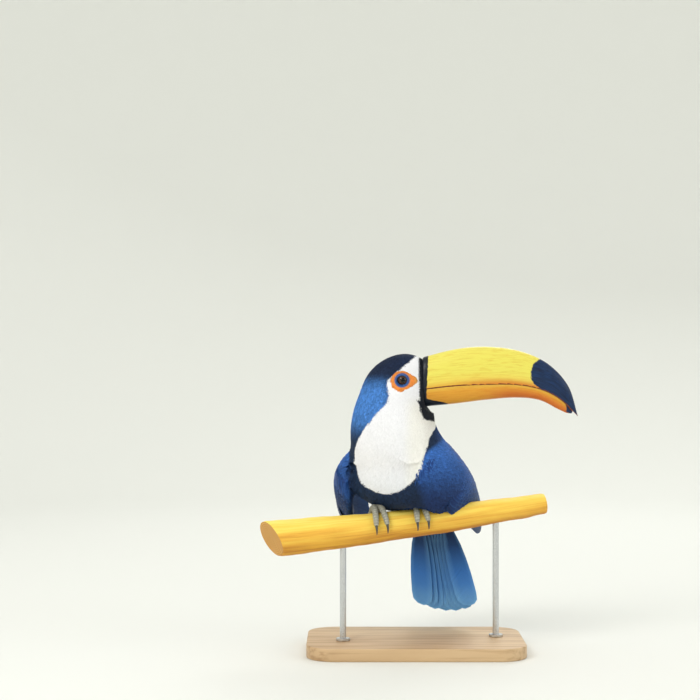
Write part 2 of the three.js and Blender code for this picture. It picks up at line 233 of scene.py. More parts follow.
air = bpy.data.worlds.new("studio_air")
bpy.context.scene.world = air
air.use_nodes = True
air.node_tree.nodes["Background"].inputs["Color"].default_value = AIR_COLOUR
air.node_tree.nodes["Background"].inputs["Strength"].default_value = AIR_STRENGTH
model_middle = (cad_box[0] + cad_box[1]) / 2
for lamp_name, at, power, colour in LAMPS:
    lamp = bpy.data.lights.new(lamp_name, "AREA")
    lamp.size, lamp.energy, lamp.color = LAMP_SIZE, power, colour
    light = bpy.data.objects.new(lamp_name, lamp)
    bpy.context.scene.collection.objects.link(light)
    light.location = at
    light.rotation_euler = (light.location - model_middle).to_track_quat("Z", "Y").to_euler()

camera = bpy.data.objects.new("camera", bpy.data.cameras.new("camera"))
bpy.context.scene.collection.objects.link(camera)
camera.data.lens = CAMERA_LENS
camera.location = CAMERA_AT
camera.rotation_euler = (np.pi / 2, 0, 0)
bpy.context.scene.camera = camera
bpy.context.scene.view_settings.view_transform = "Standard"

# ---------------------------------------------------------------- branch
# A cut length of a smooth golden branch. It rises and thins to the bird's left, and its thick end is sawn
# off at a slant. It is a tube along a bowed line with shallow hollows and two old knots, and year rings on
# its sawn ends.
BRANCH_HEIGHT, BRANCH_RISE, BRANCH_BOW = 163.5, 0.116, 0.00012
BRANCH_DEPTH, BRANCH_SLANT = -8, 0.15
BRANCH_RADIUS, BRANCH_TAPER = 18.6, 0.027
BRANCH_ENDS = (-182, 168)
SAW_TURN, SAW_TILT = np.radians(21), np.radians(17)
BRANCH_ROWS, BRANCH_AROUND = 260, 96
# The rings of a sawn end as shares of its radius, and the radius that its year rings and the bark's grain
# go by.
SAWN_RINGS = np.array([0, 0.1, 0.2, 0.3, 0.4, 0.5, 0.6, 0.7, 0.8, 0.9, 0.97])[:, None, None]
THICK_END, THIN_END, GRAIN_RADIUS = 22.0, 16.0, 18.0
# The part of a noise's values that the effects below spread out.
NOISE_SPAN = (0.3, 0.7)
# Each knot's place along X, its angle round from the top to the front, its width and its height.
KNOTS = ((-104, 1.25, 9, 1.5), (84, 0.9, 7, 1.2), (36, -1.9, 8, 1.4), (140, 3.0, 7, 1.2))
# Each of the bark's waves: its depth, its length over 2 pi, how often it goes round the branch, and its
# start. The bark lies BARK_SINK inside the branch's radius, and its rims are rounded.
BARK_WAVES = ((0.35, 31, 2, 0), (0.3, 17, -1, 2), (0.16, 7.3, 3, 0), (0.10, 3.1, -5, 0))
BARK_SINK, RIM_DEPTH, RIM_WIDTH = 0.55, 0.9, 3


def branch_middle(x):
    """The branch's middle line: straight in plan, and a shallow parabola in height."""
    x = np.asarray(x, float)
    return stack3(x, BRANCH_DEPTH + BRANCH_SLANT * x, BRANCH_HEIGHT + BRANCH_RISE * x + BRANCH_BOW * x * x)


def branch_radius(x):
    """The branch's radius, which falls evenly along it."""
    return BRANCH_RADIUS - BRANCH_TAPER * np.asarray(x, float)


def branch_axes(x):
    """Three directions at a place on the branch: along it, to the front, and up."""
    along = unit(branch_middle(np.asarray(x) + 1) - branch_middle(np.asarray(x) - 1))
    front = unit(np.cross(along, [0, 0, 1]))
    return along, front, np.cross(front, along)


def on_branch(x, angle, lift=0.0):
    """Points round the branch, with the angle from its top towards its front and lift out from its bark."""
    _, front, up = branch_axes(x)
    r = (branch_radius(x) + lift)[..., None]
    return branch_middle(x) + r * (up * np.cos(angle)[..., None] + front * np.sin(angle)[..., None])


def turned(v, axis, angle):
    """A direction turned about an axis that stands square to it, by an angle."""
    return v * np.cos(angle) + np.cross(axis, v) * np.sin(angle) + axis * (axis @ v) * (1 - np.cos(angle))


def effect(name, inputs, outputs):
    """A new shader effect with numbers as inputs. Returns the group, the node that brings its inputs and
    the node that takes its outputs."""
    group = bpy.data.node_groups.new(name, "ShaderNodeTree")
    for socket in inputs:
        group.interface.new_socket(socket, in_out="INPUT", socket_type="NodeSocketFloat")
    for socket in outputs:
        group.interface.new_socket(socket, in_out="OUTPUT", socket_type="NodeSocketFloat")
    return group, group.nodes.new("NodeGroupInput"), group.nodes.new("NodeGroupOutput")


def add_math(tree, operation, *values):
    """A sum of up to three numbers or sockets in a material."""
    return add_node(tree, "Math", dict(enumerate(values)), operation=operation).outputs[0]


def add_range(tree, value, old, new=(0.0, 1.0), **settings):
    """A value carried from one range over to another, and held inside it."""
    ends = dict(zip(("From Min", "From Max", "To Min", "To Max"), (*old, *new)))
    return add_node(tree, "MapRange", {"Value": value, **ends}, **settings).outputs[0]


def add_attribute(tree, name, output="Fac"):
    """A mesh attribute's value in a material."""
    return add_node(tree, "Attribute", attribute_name=name).outputs[output]


def add_noise(tree, at, scale, squeeze, detail):
    """Soft noise whose spots are drawn out along X for a squeeze under 1."""
    split = add_node(tree, "SeparateXYZ", {0: at})
    along = add_math(tree, "MULTIPLY", split.outputs["X"], squeeze)
    joined = add_node(tree, "CombineXYZ", {0: along, 1: split.outputs["Y"], 2: split.outputs["Z"]})
    noise = add_node(tree, "TexNoise", {"Vector": joined.outputs[0], "Scale": scale, "Detail": detail})
    return noise.outputs["Fac"]


def add_effect(tree, group, **values):
    """An effect in a material, with its inputs' values."""
    node = add_node(tree, "Group", node_tree=group)
    for socket, value in values.items():
        node.inputs[socket].default_value = value
    return node


# The mottle effect: soft noise on the object's own coordinates that lies between two values.
mottle, brought, taken = effect("mottle", ("Scale", "Stretch", "Low", "High"), ("Value",))
spots = add_noise(mottle, add_node(mottle, "TexCoord").outputs["Object"], brought.outputs["Scale"],
                  brought.outputs["Stretch"], 4.0)
level = add_range(mottle, spots, NOISE_SPAN, (brought.outputs["Low"], brought.outputs["High"]))
mottle.links.new(level, taken.inputs["Value"])
# The grain effect: noise drawn out along a piece. It reads the piece's Grain attribute, which holds lengths
# in centimetres along, across and up.
grain, brought, taken = effect("grain", ("Scale", "Squeeze"), ("Value",))
streaks = add_noise(grain, add_attribute(grain, "Grain", "Vector"), brought.outputs["Scale"],
                    brought.outputs["Squeeze"], 5.0)
grain.links.new(add_range(grain, streaks, NOISE_SPAN), taken.inputs["Value"])


def add_mottle(tree, scale, low, high, stretch=1.0):
    """A mottle effect in a material. A stretch under 1 draws its spots out along X."""
    return add_effect(tree, mottle, Scale=scale, Stretch=stretch, Low=low, High=high).outputs["Value"]


def add_grain(tree, scale, squeeze):
    """A grain effect in a material. A squeeze under 1 draws its streaks out."""
    return add_effect(tree, grain, Scale=scale, Squeeze=squeeze).outputs["Value"]


def add_ramp(tree, value, *stops):
    """A colour for each value, from pairs of a value and a colour."""
    ramp = add_node(tree, "ValToRGB", {0: value})
    for i, (at, colour) in enumerate(stops):
        element = ramp.color_ramp.elements[i] if i < 2 else ramp.color_ramp.elements.new(at)
        element.position, element.color = at, (*colour, 1)
    return ramp.outputs["Color"]


def add_mix(tree, amount, a, b, kind="MIX"):
    """Two colours mixed: a where amount is 0 and b where it is 1."""
    return add_node(tree, "Mix", {0: amount, 6: a, 7: b}, data_type="RGBA", blend_type=kind).outputs[2]


def add_product(tree, a, b):
    """Two colours multiplied."""
    return add_mix(tree, 1.0, a, b, "MULTIPLY")


def feed(shader, socket, value):
    """A colour or a value that changes over the surface, into one of a material's shader's sockets."""
    shader.id_data.links.new(value, shader.inputs[socket])


def set_bump(tree, shader, height, strength, distance):
    """Small relief from a height, with its depth in metres."""
    bump = add_node(tree, "Bump", {"Height": height, "Strength": strength, "Distance": distance})
    feed(shader, "Normal", bump.outputs["Normal"])


left_end, right_end = BRANCH_ENDS
left_along, left_front, _ = branch_axes(left_end)
saw_normal = turned(turned(left_along, left_front, SAW_TILT), np.array([0, 0, 1.0]), SAW_TURN)
round_angle = circle(BRANCH_AROUND)
left_rim = on_branch(np.full(BRANCH_AROUND, float(left_end)), round_angle) - branch_middle(left_end)
left_x = left_end - (left_rim @ saw_normal) / (left_along @ saw_normal)
share = np.linspace(0, 1, BRANCH_ROWS)[:, None]
bark_x = mix(left_x, float(right_end), share)
bark_angle = np.broadcast_to(round_angle, bark_x.shape)
relief = sum(depth * np.sin(bark_x / length + times * bark_angle + start)
             for depth, length, times, start in BARK_WAVES) - BARK_SINK
for knot_x, knot_angle, knot_width, knot_height in KNOTS:
    turn = (bark_angle - knot_angle + np.pi) % (2 * np.pi) - np.pi
    away = np.hypot((bark_x - knot_x) * 0.8, turn * 18) / knot_width
    relief += knot_height * (np.exp(-away ** 2 * 1.6) - 0.8 * np.exp(-away ** 2 * 14))
rim = smooth(RIM_WIDTH, 0, bark_x - left_x) + smooth(RIM_WIDTH, 0, right_end - bark_x)
bark = on_branch(bark_x, bark_angle, relief - RIM_DEPTH * rim)
left_face = branch_middle(left_end) + (bark[0] - branch_middle(left_end)) * SAWN_RINGS
right_face = branch_middle(right_end) + (bark[-1] - branch_middle(right_end)) * SAWN_RINGS[::-1]
branch_rings = np.concatenate([left_face, bark, right_face])
ring_radius = np.concatenate([SAWN_RINGS * THICK_END, np.full((BRANCH_ROWS, 1, 1), THICK_END),
                              SAWN_RINGS[::-1] * THIN_END])
is_bark = np.pad(np.ones((BRANCH_ROWS, 1, 1)), ((len(SAWN_RINGS),) * 2, (0, 0), (0, 0)))
upward = np.broadcast_to(np.cos(round_angle)[:, None], branch_rings.shape[:2] + (1,))
branch_grain = stack3(branch_rings[..., 0], GRAIN_RADIUS * np.sin(round_angle),
                      GRAIN_RADIUS * np.cos(round_angle)) / 10

branch_material, tree, shader = new_material("branch_wood", Roughness=0.6, Specular_IOR_Level=0.3)
broad, fine = add_grain(tree, 1.5, 0.045), add_grain(tree, 6.0, 0.035)
# Towards the underside the bark turns darker and more orange. This is partly painted shade and partly the
# wood's own colour, mixed with its streaks.
under = add_range(tree, add_attribute(tree, "Upward"), (-1.0, 0.8), (0.66, 0.0))
streak = add_math(tree, "MULTIPLY_ADD", fine, 0.24, add_math(tree, "MULTIPLY_ADD", broad, 0.42, under))
bark_and_under_shade = add_ramp(tree, streak, (0.0, (0.96, 0.80, 0.18)), (0.38, (0.92, 0.64, 0.10)),
                  (0.72, (0.82, 0.44, 0.055)), (1.0, (0.60, 0.26, 0.035)))
years = add_math(tree, "MULTIPLY", add_attribute(tree, "Radius"), 2.6)
years = add_math(tree, "SINE", add_math(tree, "ADD", add_mottle(tree, 60, -1.2, 1.2), years))
sawn = add_ramp(tree, add_range(tree, years, (-1.0, 1.0)), (0.0, (0.44, 0.19, 0.040)),
                (0.55, (0.64, 0.33, 0.080)), (1.0, (0.70, 0.40, 0.11)))
feed(shader, "Base Color", add_mix(tree, add_attribute(tree, "Bark"), sawn, bark_and_under_shade))
feed(shader, "Roughness", add_mottle(tree, 90, 0.48, 0.68, 0.2))
set_bump(tree, shader, fine, 0.5, 0.0007)
branch = tube_piece("branch", branch_rings, branch_material, values={
    "Radius": ring_radius, "Bark": is_bark, "Upward": upward, "Grain": branch_grain})
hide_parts("perch_branch")
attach(branch, "root")

# ---------------------------------------------------------------- the bird's shape and markings
# The bird's outline is a set of rounded lumps that melt into one surface. The feathers' tips reach that
# surface, and the skin lies under it by the depth of the coat. Skin and feathers take their colours from
# the same markings.
PERCH_X, YAW = -20, 24
HEAD_AT, HEAD_TURN = (-24, -14, 342), -4
COAT_BLEND = 9
COAT_DEPTH, FACE_DEPTH, SOCKET_DEPTH = 4.6, 1.5, 5
BILL_BASE, CHIN_TOP, CHIN_SLOPE = 35.5, -32, np.radians(30)
EYE_X, EYE_Z, EYE_RADIUS, EYE_PROUD = 8, 4, 8, 1.4
# The bare patch's reach from the eye in the four directions, and how much lower it gets towards the bill.
ORBIT_AHEAD, ORBIT_BEHIND, ORBIT_ABOVE, ORBIT_BELOW, ORBIT_SQUEEZE = 18.5, 13.2, 12.4, 13.8, 0.3
TAIL_ROOT = (-64, 18, 4)
# The white rump: a ball, drawn out by these shares, that ends where the tail starts.
RUMP_AT, RUMP_RADIUS, RUMP_SHARES = (-92, 12, -6), 36, (1, 1.2, 0.8)
RUMP_WAY, RUMP_OVER = (-0.93, 0, 0.37), 5


def turned_axes(degrees):
    """The three axes of a frame that is turned about Z, as rows."""
    c, s = np.cos(np.radians(degrees)), np.sin(np.radians(degrees))
    return np.array([[c, s, 0], [-s, c, 0], [0, 0, 1]])


perch_top = on_branch(np.array(PERCH_X), np.array(0.0))
BIRD = (perch_top, turned_axes(-90 - YAW))
HEAD = (np.array(HEAD_AT, float), turned_axes(HEAD_TURN))


def out_of(part, p):
    """Points of a frame, in the room's own frame."""
    return part[0] + np.asarray(p, float) @ part[1]


def into(part, p):
    """The coordinates of points of the room, in a frame."""
    return np.moveaxis((np.asarray(p, float) - part[0]) @ part[1].T, -1, 0)


# Each lump's frame, middle, half sizes (along, across, deep) and the pitch of its long axis.
LUMPS = (
    (BIRD, (-24, -3, 60), (74, 50, 44), 53),
    (BIRD, (8, -3, 88), (48, 50, 40), 66),
    (BIRD, (1, -6, 30), (38, 46, 27), 30),
    (BIRD, (-66, 2, 8), (44, 30, 22), 62),
    (BIRD, (8, -8, 113), (42, 41, 37), 90),
    (HEAD, (-5, 0, 4), (34, 20, 25), 30),
    (HEAD, (18, 0, 2), (28, 16, 29), 0),
    (HEAD, (-14, 0, -28), (32, 25, 26), 60),
    (HEAD, (2, 0, -44), (29, 25, 26), 60),
    (HEAD, (28, 0, -24), (16, 13, 12), -20),
)


def placed_lump(part, middle, size, pitch):
    """A lump's middle, its axes as rows, and its half sizes."""
    c, s = np.cos(np.radians(pitch)), np.sin(np.radians(pitch))
    axes = np.array([[c, 0, s], [0, 1, 0], [-s, 0, c]]) @ part[1]
    return out_of(part, middle), axes, np.array(size, float)


placed_lumps = [placed_lump(*lump) for lump in LUMPS]


def body_weight(p):
    """The sum of exp(-distance / COAT_BLEND) over the lumps. Each lump's distance is k (k - 1) / slope,
    where k is the length of the point scaled to the lump's sizes."""
    total = 0
    for middle, axes, size in placed_lumps:
        near = (p - middle) @ axes.T / size
        k = np.sqrt(np.sum(near ** 2, -1))
        slope = np.sqrt(np.sum((near / size) ** 2, -1))
        total = total + np.exp(-k * (k - 1) / np.maximum(slope, 1e-9) / COAT_BLEND)
    return total


def shoulder_weight(p):
    """The same sum over the front halves of the two wings."""
    return sum(np.exp(-wing.shoulder_distance(p) / COAT_BLEND) for wing in wings.values())


def body_distance(p):
    """Roughly how far points lie outside the body without its wings, from the lumps' exponential mean."""
    return -COAT_BLEND * np.log(np.maximum(body_weight(p), 1e-300))


def coat_distance(p):
    """Roughly how far points lie outside the coat's surface, which runs over the body and both
    shoulders."""
    return -COAT_BLEND * np.log(np.maximum(body_weight(p) + shoulder_weight(p), 1e-300))


def wing_share(p):
    """How far points belong to the wings rather than the body, from 0 to 1."""
    body, shoulder = body_weight(p), shoulder_weight(p)
    return shoulder / (body + shoulder)


TETRAHEDRON = np.array([[1, -1, -1], [-1, -1, 1], [-1, 1, -1], [1, 1, 1]], float)


def coat_normal(p):
    """The way that the coat's distance grows fastest, from its values at four points round each place."""
    return unit(sum(corner * coat_distance(p + 0.4 * corner)[..., None] for corner in TETRAHEDRON))


def to_level(p, level):
    """Points moved straight out or in, to where the coat's distance is level."""
    for _ in range(2):
        p = p + (level - coat_distance(p))[..., None] * coat_normal(p)
    return p


def coat_depth(p):
    """How thick the coat is: thin on the face, and full on the neck and the trunk. Each eye has a
    socket."""
    x, _, z = into(HEAD, p)
    return (mix(COAT_DEPTH, FACE_DEPTH, smooth(-30, 12, x) * smooth(-62, -24, z))
            + SOCKET_DEPTH * smooth(1.2, 0.85, bare_orbit(p)))


def curve(points, t):
    """A smooth line through points, with t from 0 to 1 along it, by the Catmull-Rom formula."""
    points = np.asarray(points, float)
    points = np.concatenate([2 * points[:1] - points[1:2], points, 2 * points[-1:] - points[-2:-1]])
    spans = len(points) - 3
    t = np.clip(np.asarray(t, float), 0, 1) * spans
    i = np.minimum(t.astype(int), spans - 1)
    f = (t - i)[..., None]
    a, b, c, d = (points[i + k] for k in range(4))
    second, third = 2 * a - 5 * b + 4 * c - d, 3 * b - a - 3 * c + d
    return 0.5 * (2 * b + (c - a) * f + second * f ** 2 + third * f ** 3)


SPINE = np.vstack([
    out_of(BIRD, [(-74, 0, 0), (-44, 0, 36), (-12, 0, 80), (8, 0, 120)]),
    out_of(HEAD, [(0, 0, 4)]),
])
SPINE_CAP = 0.2


def square_to(v, along):
    """A direction with its part along another taken out, one long."""
    return unit(v - along * np.sum(v * along, -1, keepdims=True))


# A wing from its bend to its tip, in the bird's frame with y outwards. The right wing hangs lower and
# wider.
WINGS = {"left": (1, (28, 48, 74), (-140, 64, -34)), "right": (-1, (18, 72, 56), (-124, 82, -46))}
WING_ABOVE, WING_BELOW, WING_BULGE = 56, 44, 25
# How thick a wing is at its bend and at its tip, and the share of its length where its flesh ends.
WING_THICK, WING_THIN, FLESH_END = 24, 2, 0.52


class Wing:
    """A folded wing's place: its bend, its length, and the ways along it, out from the body and up its
    back."""

    def __init__(self, side, bend_at, tip_at):
        turn = np.array([1, side, 1])
        self.side, self.bend = side, out_of(BIRD, np.array(bend_at) * turn)
        along = out_of(BIRD, np.array(tip_at) * turn) - self.bend
        self.length = np.linalg.norm(along)
        self.along = along / self.length
        self.out = square_to(side * BIRD[1][1], self.along)
        self.up = side * np.cross(self.out, self.along)

    def leaf(self, s):
        """The wing's half breadth at a share of its length, as a share of its fullest."""
        return np.maximum(0, np.sin(np.pi * np.clip(s, 0, 1) ** 0.544)) ** 0.75

    def height(self, s, across):
        """How far out the wing's outer face lies: a bulge along it and a parabola over its back."""
        return WING_BULGE * np.sin(np.pi * (0.08 + 0.92 * s)) - across ** 2 / 100

    def thickness(self, s):
        """How thick the closed wing is, which falls from its bend to its tip."""
        return mix(WING_THICK, WING_THIN, smooth(0.35, 0.9, s))

    def blade(self, s, across, lift=0.0):
        """Points over the wing's outer face: s is the share of its length, across is how far up its
        back."""
        depth = self.height(s, across) + lift
        return (self.bend + self.along * (s * self.length)[..., None] + self.up * across[..., None]
                + self.out * depth[..., None])

    def shell(self, s, around, thick_share, breadth_share):
        """Points round the wing's closed leaf, by an angle from its back over its outer face."""
        breadth = np.where(np.cos(around) > 0, WING_ABOVE, WING_BELOW) * self.leaf(s) * breadth_share
        depth = (1 - thick_share * np.sin(around)) * 0.5 * self.thickness(s)
        return self.blade(s, breadth * np.cos(around), -depth)

    def place(self, p):
        """Where points lie: the share of the wing's length, how far up its back, and how far out."""
        q = p - self.bend
        return q @ self.along / self.length, q @ self.up, q @ self.out

    def shoulder_distance(self, p):
        """Roughly how far points lie outside the wing's front half, which is rounded at the bend and thins
        away under the quills. It is k (k - 1) / slope again, for an ellipse across the wing."""
        s, y, out = self.place(p)
        front = np.sqrt(np.clip(1 - (1 - np.clip(s / 0.16, 0, 1)) ** 2, 0.02, 1))
        breadth = np.where(y > 0, WING_ABOVE, WING_BELOW) * self.leaf(np.maximum(s, 0.02))
        breadth = breadth * mix(0.4, 1, front)
        thick = 0.5 * self.thickness(s)
        half = thick * front * smooth(FLESH_END, 0.38, s) + 0.4
        over = out - self.height(s, y) + thick
        k = np.hypot(y / breadth, over / half)
        slope = np.hypot(y / breadth ** 2, over / half ** 2)
        ends = np.maximum(np.maximum(-s, s - FLESH_END) * self.length, np.abs(y) - breadth)
        return np.maximum(k * (k - 1) / np.maximum(slope, 1e-9), ends)


wings = {name: Wing(*place) for name, place in WINGS.items()}


def round_spine(u, v, outside):
    """Points of a surface round the spine, where outside(point) turns from over to under 0. Rays leave the
    spine square to it for most of u, and in a fan round each of its ends, with v for the turn about it.
    Each ray is followed inwards in steps of 5, and its last step is halved 9 times."""
    t = np.clip((u - SPINE_CAP) / (1 - 2 * SPINE_CAP), 0, 1)
    start = curve(SPINE, t)
    along = unit(curve(SPINE, t + 0.01) - curve(SPINE, t - 0.01))
    side = square_to(BIRD[1][1], along)
    turn = (v * 2 * np.pi)[..., None]
    lean = (np.maximum(np.maximum(0, 1 - u / SPINE_CAP), (u - 1) / SPINE_CAP + 1) * np.pi / 2)[..., None]
    way = np.cross(side, along) * np.cos(turn) + side * np.sin(turn)
    way = way * np.cos(lean) + along * np.sin(lean) * np.where(u < 0.5, -1, 1)[..., None]
    high = np.full(u.shape, 150.0)
    for _ in range(29):
        high = high - 5 * (outside(start + way * (high - 5)[..., None]) > 0)
    low = halved(high - 5, high, 9, lambda far: outside(start + way * far[..., None]) > 0)
    return start + way * low[..., None]


def in_bill(p):
    """How far points lie inside the room that the head leaves for the bill, negative outside it."""
    x, _, z = into(HEAD, p)
    chin = (x - BILL_BASE) * np.sin(CHIN_SLOPE) + (z - CHIN_TOP) * np.cos(CHIN_SLOPE)
    return np.minimum(x - BILL_BASE, chin)


def orbit_size(ahead, above, forward_share):
    """The bare patch's half length and half height, before or behind the eye and above or below it."""
    height = np.where(above > 0, ORBIT_ABOVE, ORBIT_BELOW) * (1 - ORBIT_SQUEEZE * forward_share)
    return np.where(ahead > 0, ORBIT_AHEAD, ORBIT_BEHIND), height


def orbit_radius(p, side):
    """How far points lie from the eye, as a share of the bare patch's edge: an oval that is drawn out
    forwards."""
    x, y, z = into(HEAD, p)
    dx, dz = x - EYE_X, z - EYE_Z
    reach, height = orbit_size(dx, dz, smooth(0, 18, dx))
    return np.where(y * side > 0, np.hypot(dx / reach, dz / height), 9.0)


def bare_orbit(p):
    """The smaller of the two eyes' orbit_radius."""
    return np.minimum(orbit_radius(p, 1), orbit_radius(p, -1))


WHITE = np.array([0.90, 0.90, 0.93])
WHITE_LOW = np.array([0.78, 0.80, 0.83])
THROAT_TINT = np.array([0.92, 0.88, 0.70])
CAP_BLACK = np.array([0.008, 0.017, 0.048])
NAPE_BLUE = np.array([0.055, 0.190, 0.52])
BACK_BLUE = np.array([0.014, 0.050, 0.190])
SHOULDER_BLUE = np.array([0.034, 0.125, 0.42])
WING_LOW_SHADE = np.array([0.009, 0.028, 0.105])
BELLY_NAVY = np.array([0.008, 0.021, 0.055])
MASK_AND_SHADOW_BLACK = np.array([0.006, 0.009, 0.016])
# Height, and the white bib's two edges there as turns about the neck in degrees.
BIB_EDGES = (
    (200, -176, -65), (240, -176, -65), (253, -168, -61), (265, -156, -55), (274, -148, -50),
    (281, -142, -40), (288, -136, -15), (296, -128, 35), (306, -119, 75), (319, -101, 90),
    (340, -100, 92), (420, -104, 96),
)
BIB_FOOT, BIB_WAIST = 203, 240
# The cheek's back edge in the head's frame: height, and how far forward the white begins.
CHEEK_EDGE = ((-51, -35), (-38, -24), (-24, -11), (-16, -7.5), (-8, -10), (0, -11), (40, -11))


def white_margin(p):
    """How far inside the white area points lie, negative outside it. On the neck and chest it is a sector
    that turns with the head and ends below in half an ellipse. On the head it ends at the edge of the
    cap."""
    x, y, z = np.moveaxis(np.asarray(p, float), -1, 0)
    right_edge, left_edge = look_up(BIB_EDGES, z)
    facing, half = (left_edge + right_edge) / 2, (left_edge - right_edge) / 2
    lift = smooth(270, 330, z)
    dx, dy = x - mix(-19, -29, lift), y - mix(-8, -14, lift)
    off = np.abs((np.degrees(np.arctan2(dy, dx)) - facing + 180) % 360 - 180)
    radius = np.hypot(dx, dy)
    sector = np.radians(half - off) * radius
    foot = (1 - np.hypot(off / half, np.maximum(BIB_WAIST - z, 0) / (BIB_WAIST - BIB_FOOT))) * 44
    sector = np.where(z < BIB_WAIST, foot, sector)
    hx, _, hz = into(HEAD, p)
    cap_edge = 38 + 0.88 * (hx - 29) - hz
    cheek = hx - look_up(CHEEK_EDGE, hz)[0]
    return mix(sector, np.minimum(np.minimum(cap_edge * 0.75, cheek), sector + 30), smooth(-32, -12, hz))


def markings(p):
    """The plumage's dark colour, its pale colour, and how far inside the pale area points lie. The pale
    area is the white face, bib and rump. The rest is a blue-black cap, blue nape, back and wings, a navy
    belly, and a black line round the bill. The wings darken low down, which is painted shade, and the
    black chin patch under the bill is a painted shadow of the bill."""
    place = stack3(*into(BIRD, p))
    hx, _, hz = into(HEAD, p)
    border = mix(0.48, 0.70, smooth(266, 222, p[..., 2]))
    on_wing = smooth(-0.08, 0.08, wing_share(p) - border)[..., None]
    dark = mix(BELLY_NAVY, BACK_BLUE, smooth(22, -30, place[..., 0])[..., None])
    nape = smooth(14, -10, hz) * smooth(-76, -36, hz) * smooth(6, -20, hx)
    dark = mix(dark, NAPE_BLUE, nape[..., None])
    dark = mix(dark, CAP_BLACK, smooth(2, 22, hz)[..., None])
    # On the wings the blue darkens from the shoulder down to the wing's lower part: painted shade.
    dark = mix(dark, mix(WING_LOW_SHADE, SHOULDER_BLUE, smooth(190, 262, p[..., 2])[..., None]), on_wing)
    pale = mix(WHITE, WHITE_LOW, (smooth(250, 205, p[..., 2]) * 0.7)[..., None])
    pale = mix(pale, THROAT_TINT, (0.35 * smooth(6, 26, hx) * smooth(-10, -34, hz))[..., None])
    # The black line round the bill's base is the bird's own mark. The black chin patch under the lower
    # mandible is a painted shadow of the bill.
    down = -27 - hz
    chin = np.minimum(np.minimum(hx - 29 - 0.35 * down, down + 6), 15 + 0.3 * (hx - 27) - down)
    mask = np.maximum(np.minimum(hx - 29.5 + 0.03 * hz, hz + 34), chin)
    dark = np.where((mask > -2)[..., None], MASK_AND_SHADOW_BLACK, dark)
    rump = RUMP_RADIUS - np.linalg.norm((place - RUMP_AT) * RUMP_SHARES, axis=-1)
    rump = np.minimum(rump, (place - TAIL_ROOT) @ RUMP_WAY + RUMP_OVER)
    return dark, pale, np.maximum(np.minimum(white_margin(p), -mask), rump)


# ---------------------------------------------------------------- skin
# One closed skin under all the feathers: the trunk, neck and head, and the arms that the wing feathers grow
# from. The parts are melted together on a grid of small cells. It carries the coat's colours and fine
# pores.
SKIN_ROWS, SKIN_COLUMNS, SKIN_CELL = 150, 120, 2.0
# The share of the wing that an arm runs along, where it starts, and how thick and how broad it is beside
# the wing.
ARM_REACH, ARM_START, ARM_THICK, ARM_BREADTH, ARM_RINGS = 0.39, 0.045, 0.68, 0.80, 40


def add_plumage(tree, wander):
    """The plumage's colour in a material: pale inside the margin and dark outside it. wander, from 0 to 1,
    moves the border by up to 2 mm each way."""
    moved = add_math(tree, "MULTIPLY_ADD", wander, 4.0, add_attribute(tree, "Margin"))
    pale = add_range(tree, moved, (1.5, 2.5))
    return add_mix(tree, pale, *(add_attribute(tree, name, "Color") for name in ("Dark", "Pale")))


def plumage_values(paint):
    """The three attributes that add_plumage reads."""
    dark, pale, margin = paint
    return {"Dark": dark, "Pale": pale, "Margin": margin[..., None]}


grid_u, grid_v = crossed(np.linspace(0, 1, SKIN_ROWS), np.arange(SKIN_COLUMNS) / SKIN_COLUMNS)
body_rings = round_spine(grid_u, grid_v, lambda p: body_distance(p) + coat_depth(p))
body_rings = body_rings - np.maximum(in_bill(body_rings) + 0.8, 0)[..., None] * HEAD[1][0]
flesh = [tube_shape(body_rings[None])[:2]]
for wing in wings.values():
    arm_s = ARM_REACH * (0.5 - 0.5 * np.cos(np.linspace(0, np.pi, ARM_RINGS))) + ARM_START
    arm_s, arm_angle = crossed(arm_s, circle(ARM_RINGS))
    taper = np.sqrt(np.clip(1 - (arm_s / ARM_REACH - 0.02) ** 6, 0, 1))
    flesh.append(tube_shape(wing.shell(arm_s, arm_angle, ARM_THICK * taper, ARM_BREADTH * taper)[None])[:2])
flesh_points = np.concatenate([points for points, _ in flesh])
offsets = np.cumsum([0] + [len(points) for points, _ in flesh])
flesh_faces = np.concatenate([faces + offset for (_, faces), offset in zip(flesh, offsets)])

skin_material, tree, shader = new_material("skin", Roughness=0.62)
feed(shader, "Base Color", add_plumage(tree, add_mottle(tree, 700, 0, 1)))
set_bump(tree, shader, add_mottle(tree, 900, 0, 1), 0.5, 0.0006)
rough_skin = mesh_piece("rough_skin", flesh_points, flesh_faces, skin_material)
melt = rough_skin.modifiers.new("melt", "REMESH")
melt.mode, melt.voxel_size = "VOXEL", SKIN_CELL * MM
melted = rough_skin.evaluated_get(bpy.context.evaluated_depsgraph_get()).data
skin_points = np.empty(len(melted.vertices) * 3)
melted.vertices.foreach_get("co", skin_points)
skin_points = skin_points.reshape(-1, 3) / MM
skin_faces = np.empty(len(melted.loops), int)
melted.loops.foreach_get("vertex_index", skin_faces)
bpy.data.objects.remove(rough_skin)
skin = mesh_piece("skin", skin_points, skin_faces.reshape(-1, 4), skin_material,
                  values=plumage_values(markings(skin_points)))
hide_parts("head", "neck", "trunk", "wing_left", "wing_right")
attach(skin, "root")

# ---------------------------------------------------------------- feathers of the head, neck and trunk
# Small contour feathers, each a thin closed vane that is rooted near the skin and rises to the coat's
# surface over the roots of the next. They lie away from the bill, then down and back along the body.
GOLDEN_TURN = (np.sqrt(5) - 1) / 2
LIE_SOURCE = out_of(HEAD, (39, 0, -3))
# Distance from the bill's root, and the feathers' length there.
LENGTHS = ((8, 4.0), (26, 5.4), (50, 8.0), (85, 12.5), (130, 16.0), (200, 19.0), (320, 22.0))
# Distance from the bill's root, and the room between two feathers there.
SPACINGS = ((8, 0.95), (26, 1.20), (50, 1.60), (85, 2.30), (130, 2.75), (200, 3.2), (320, 3.8))
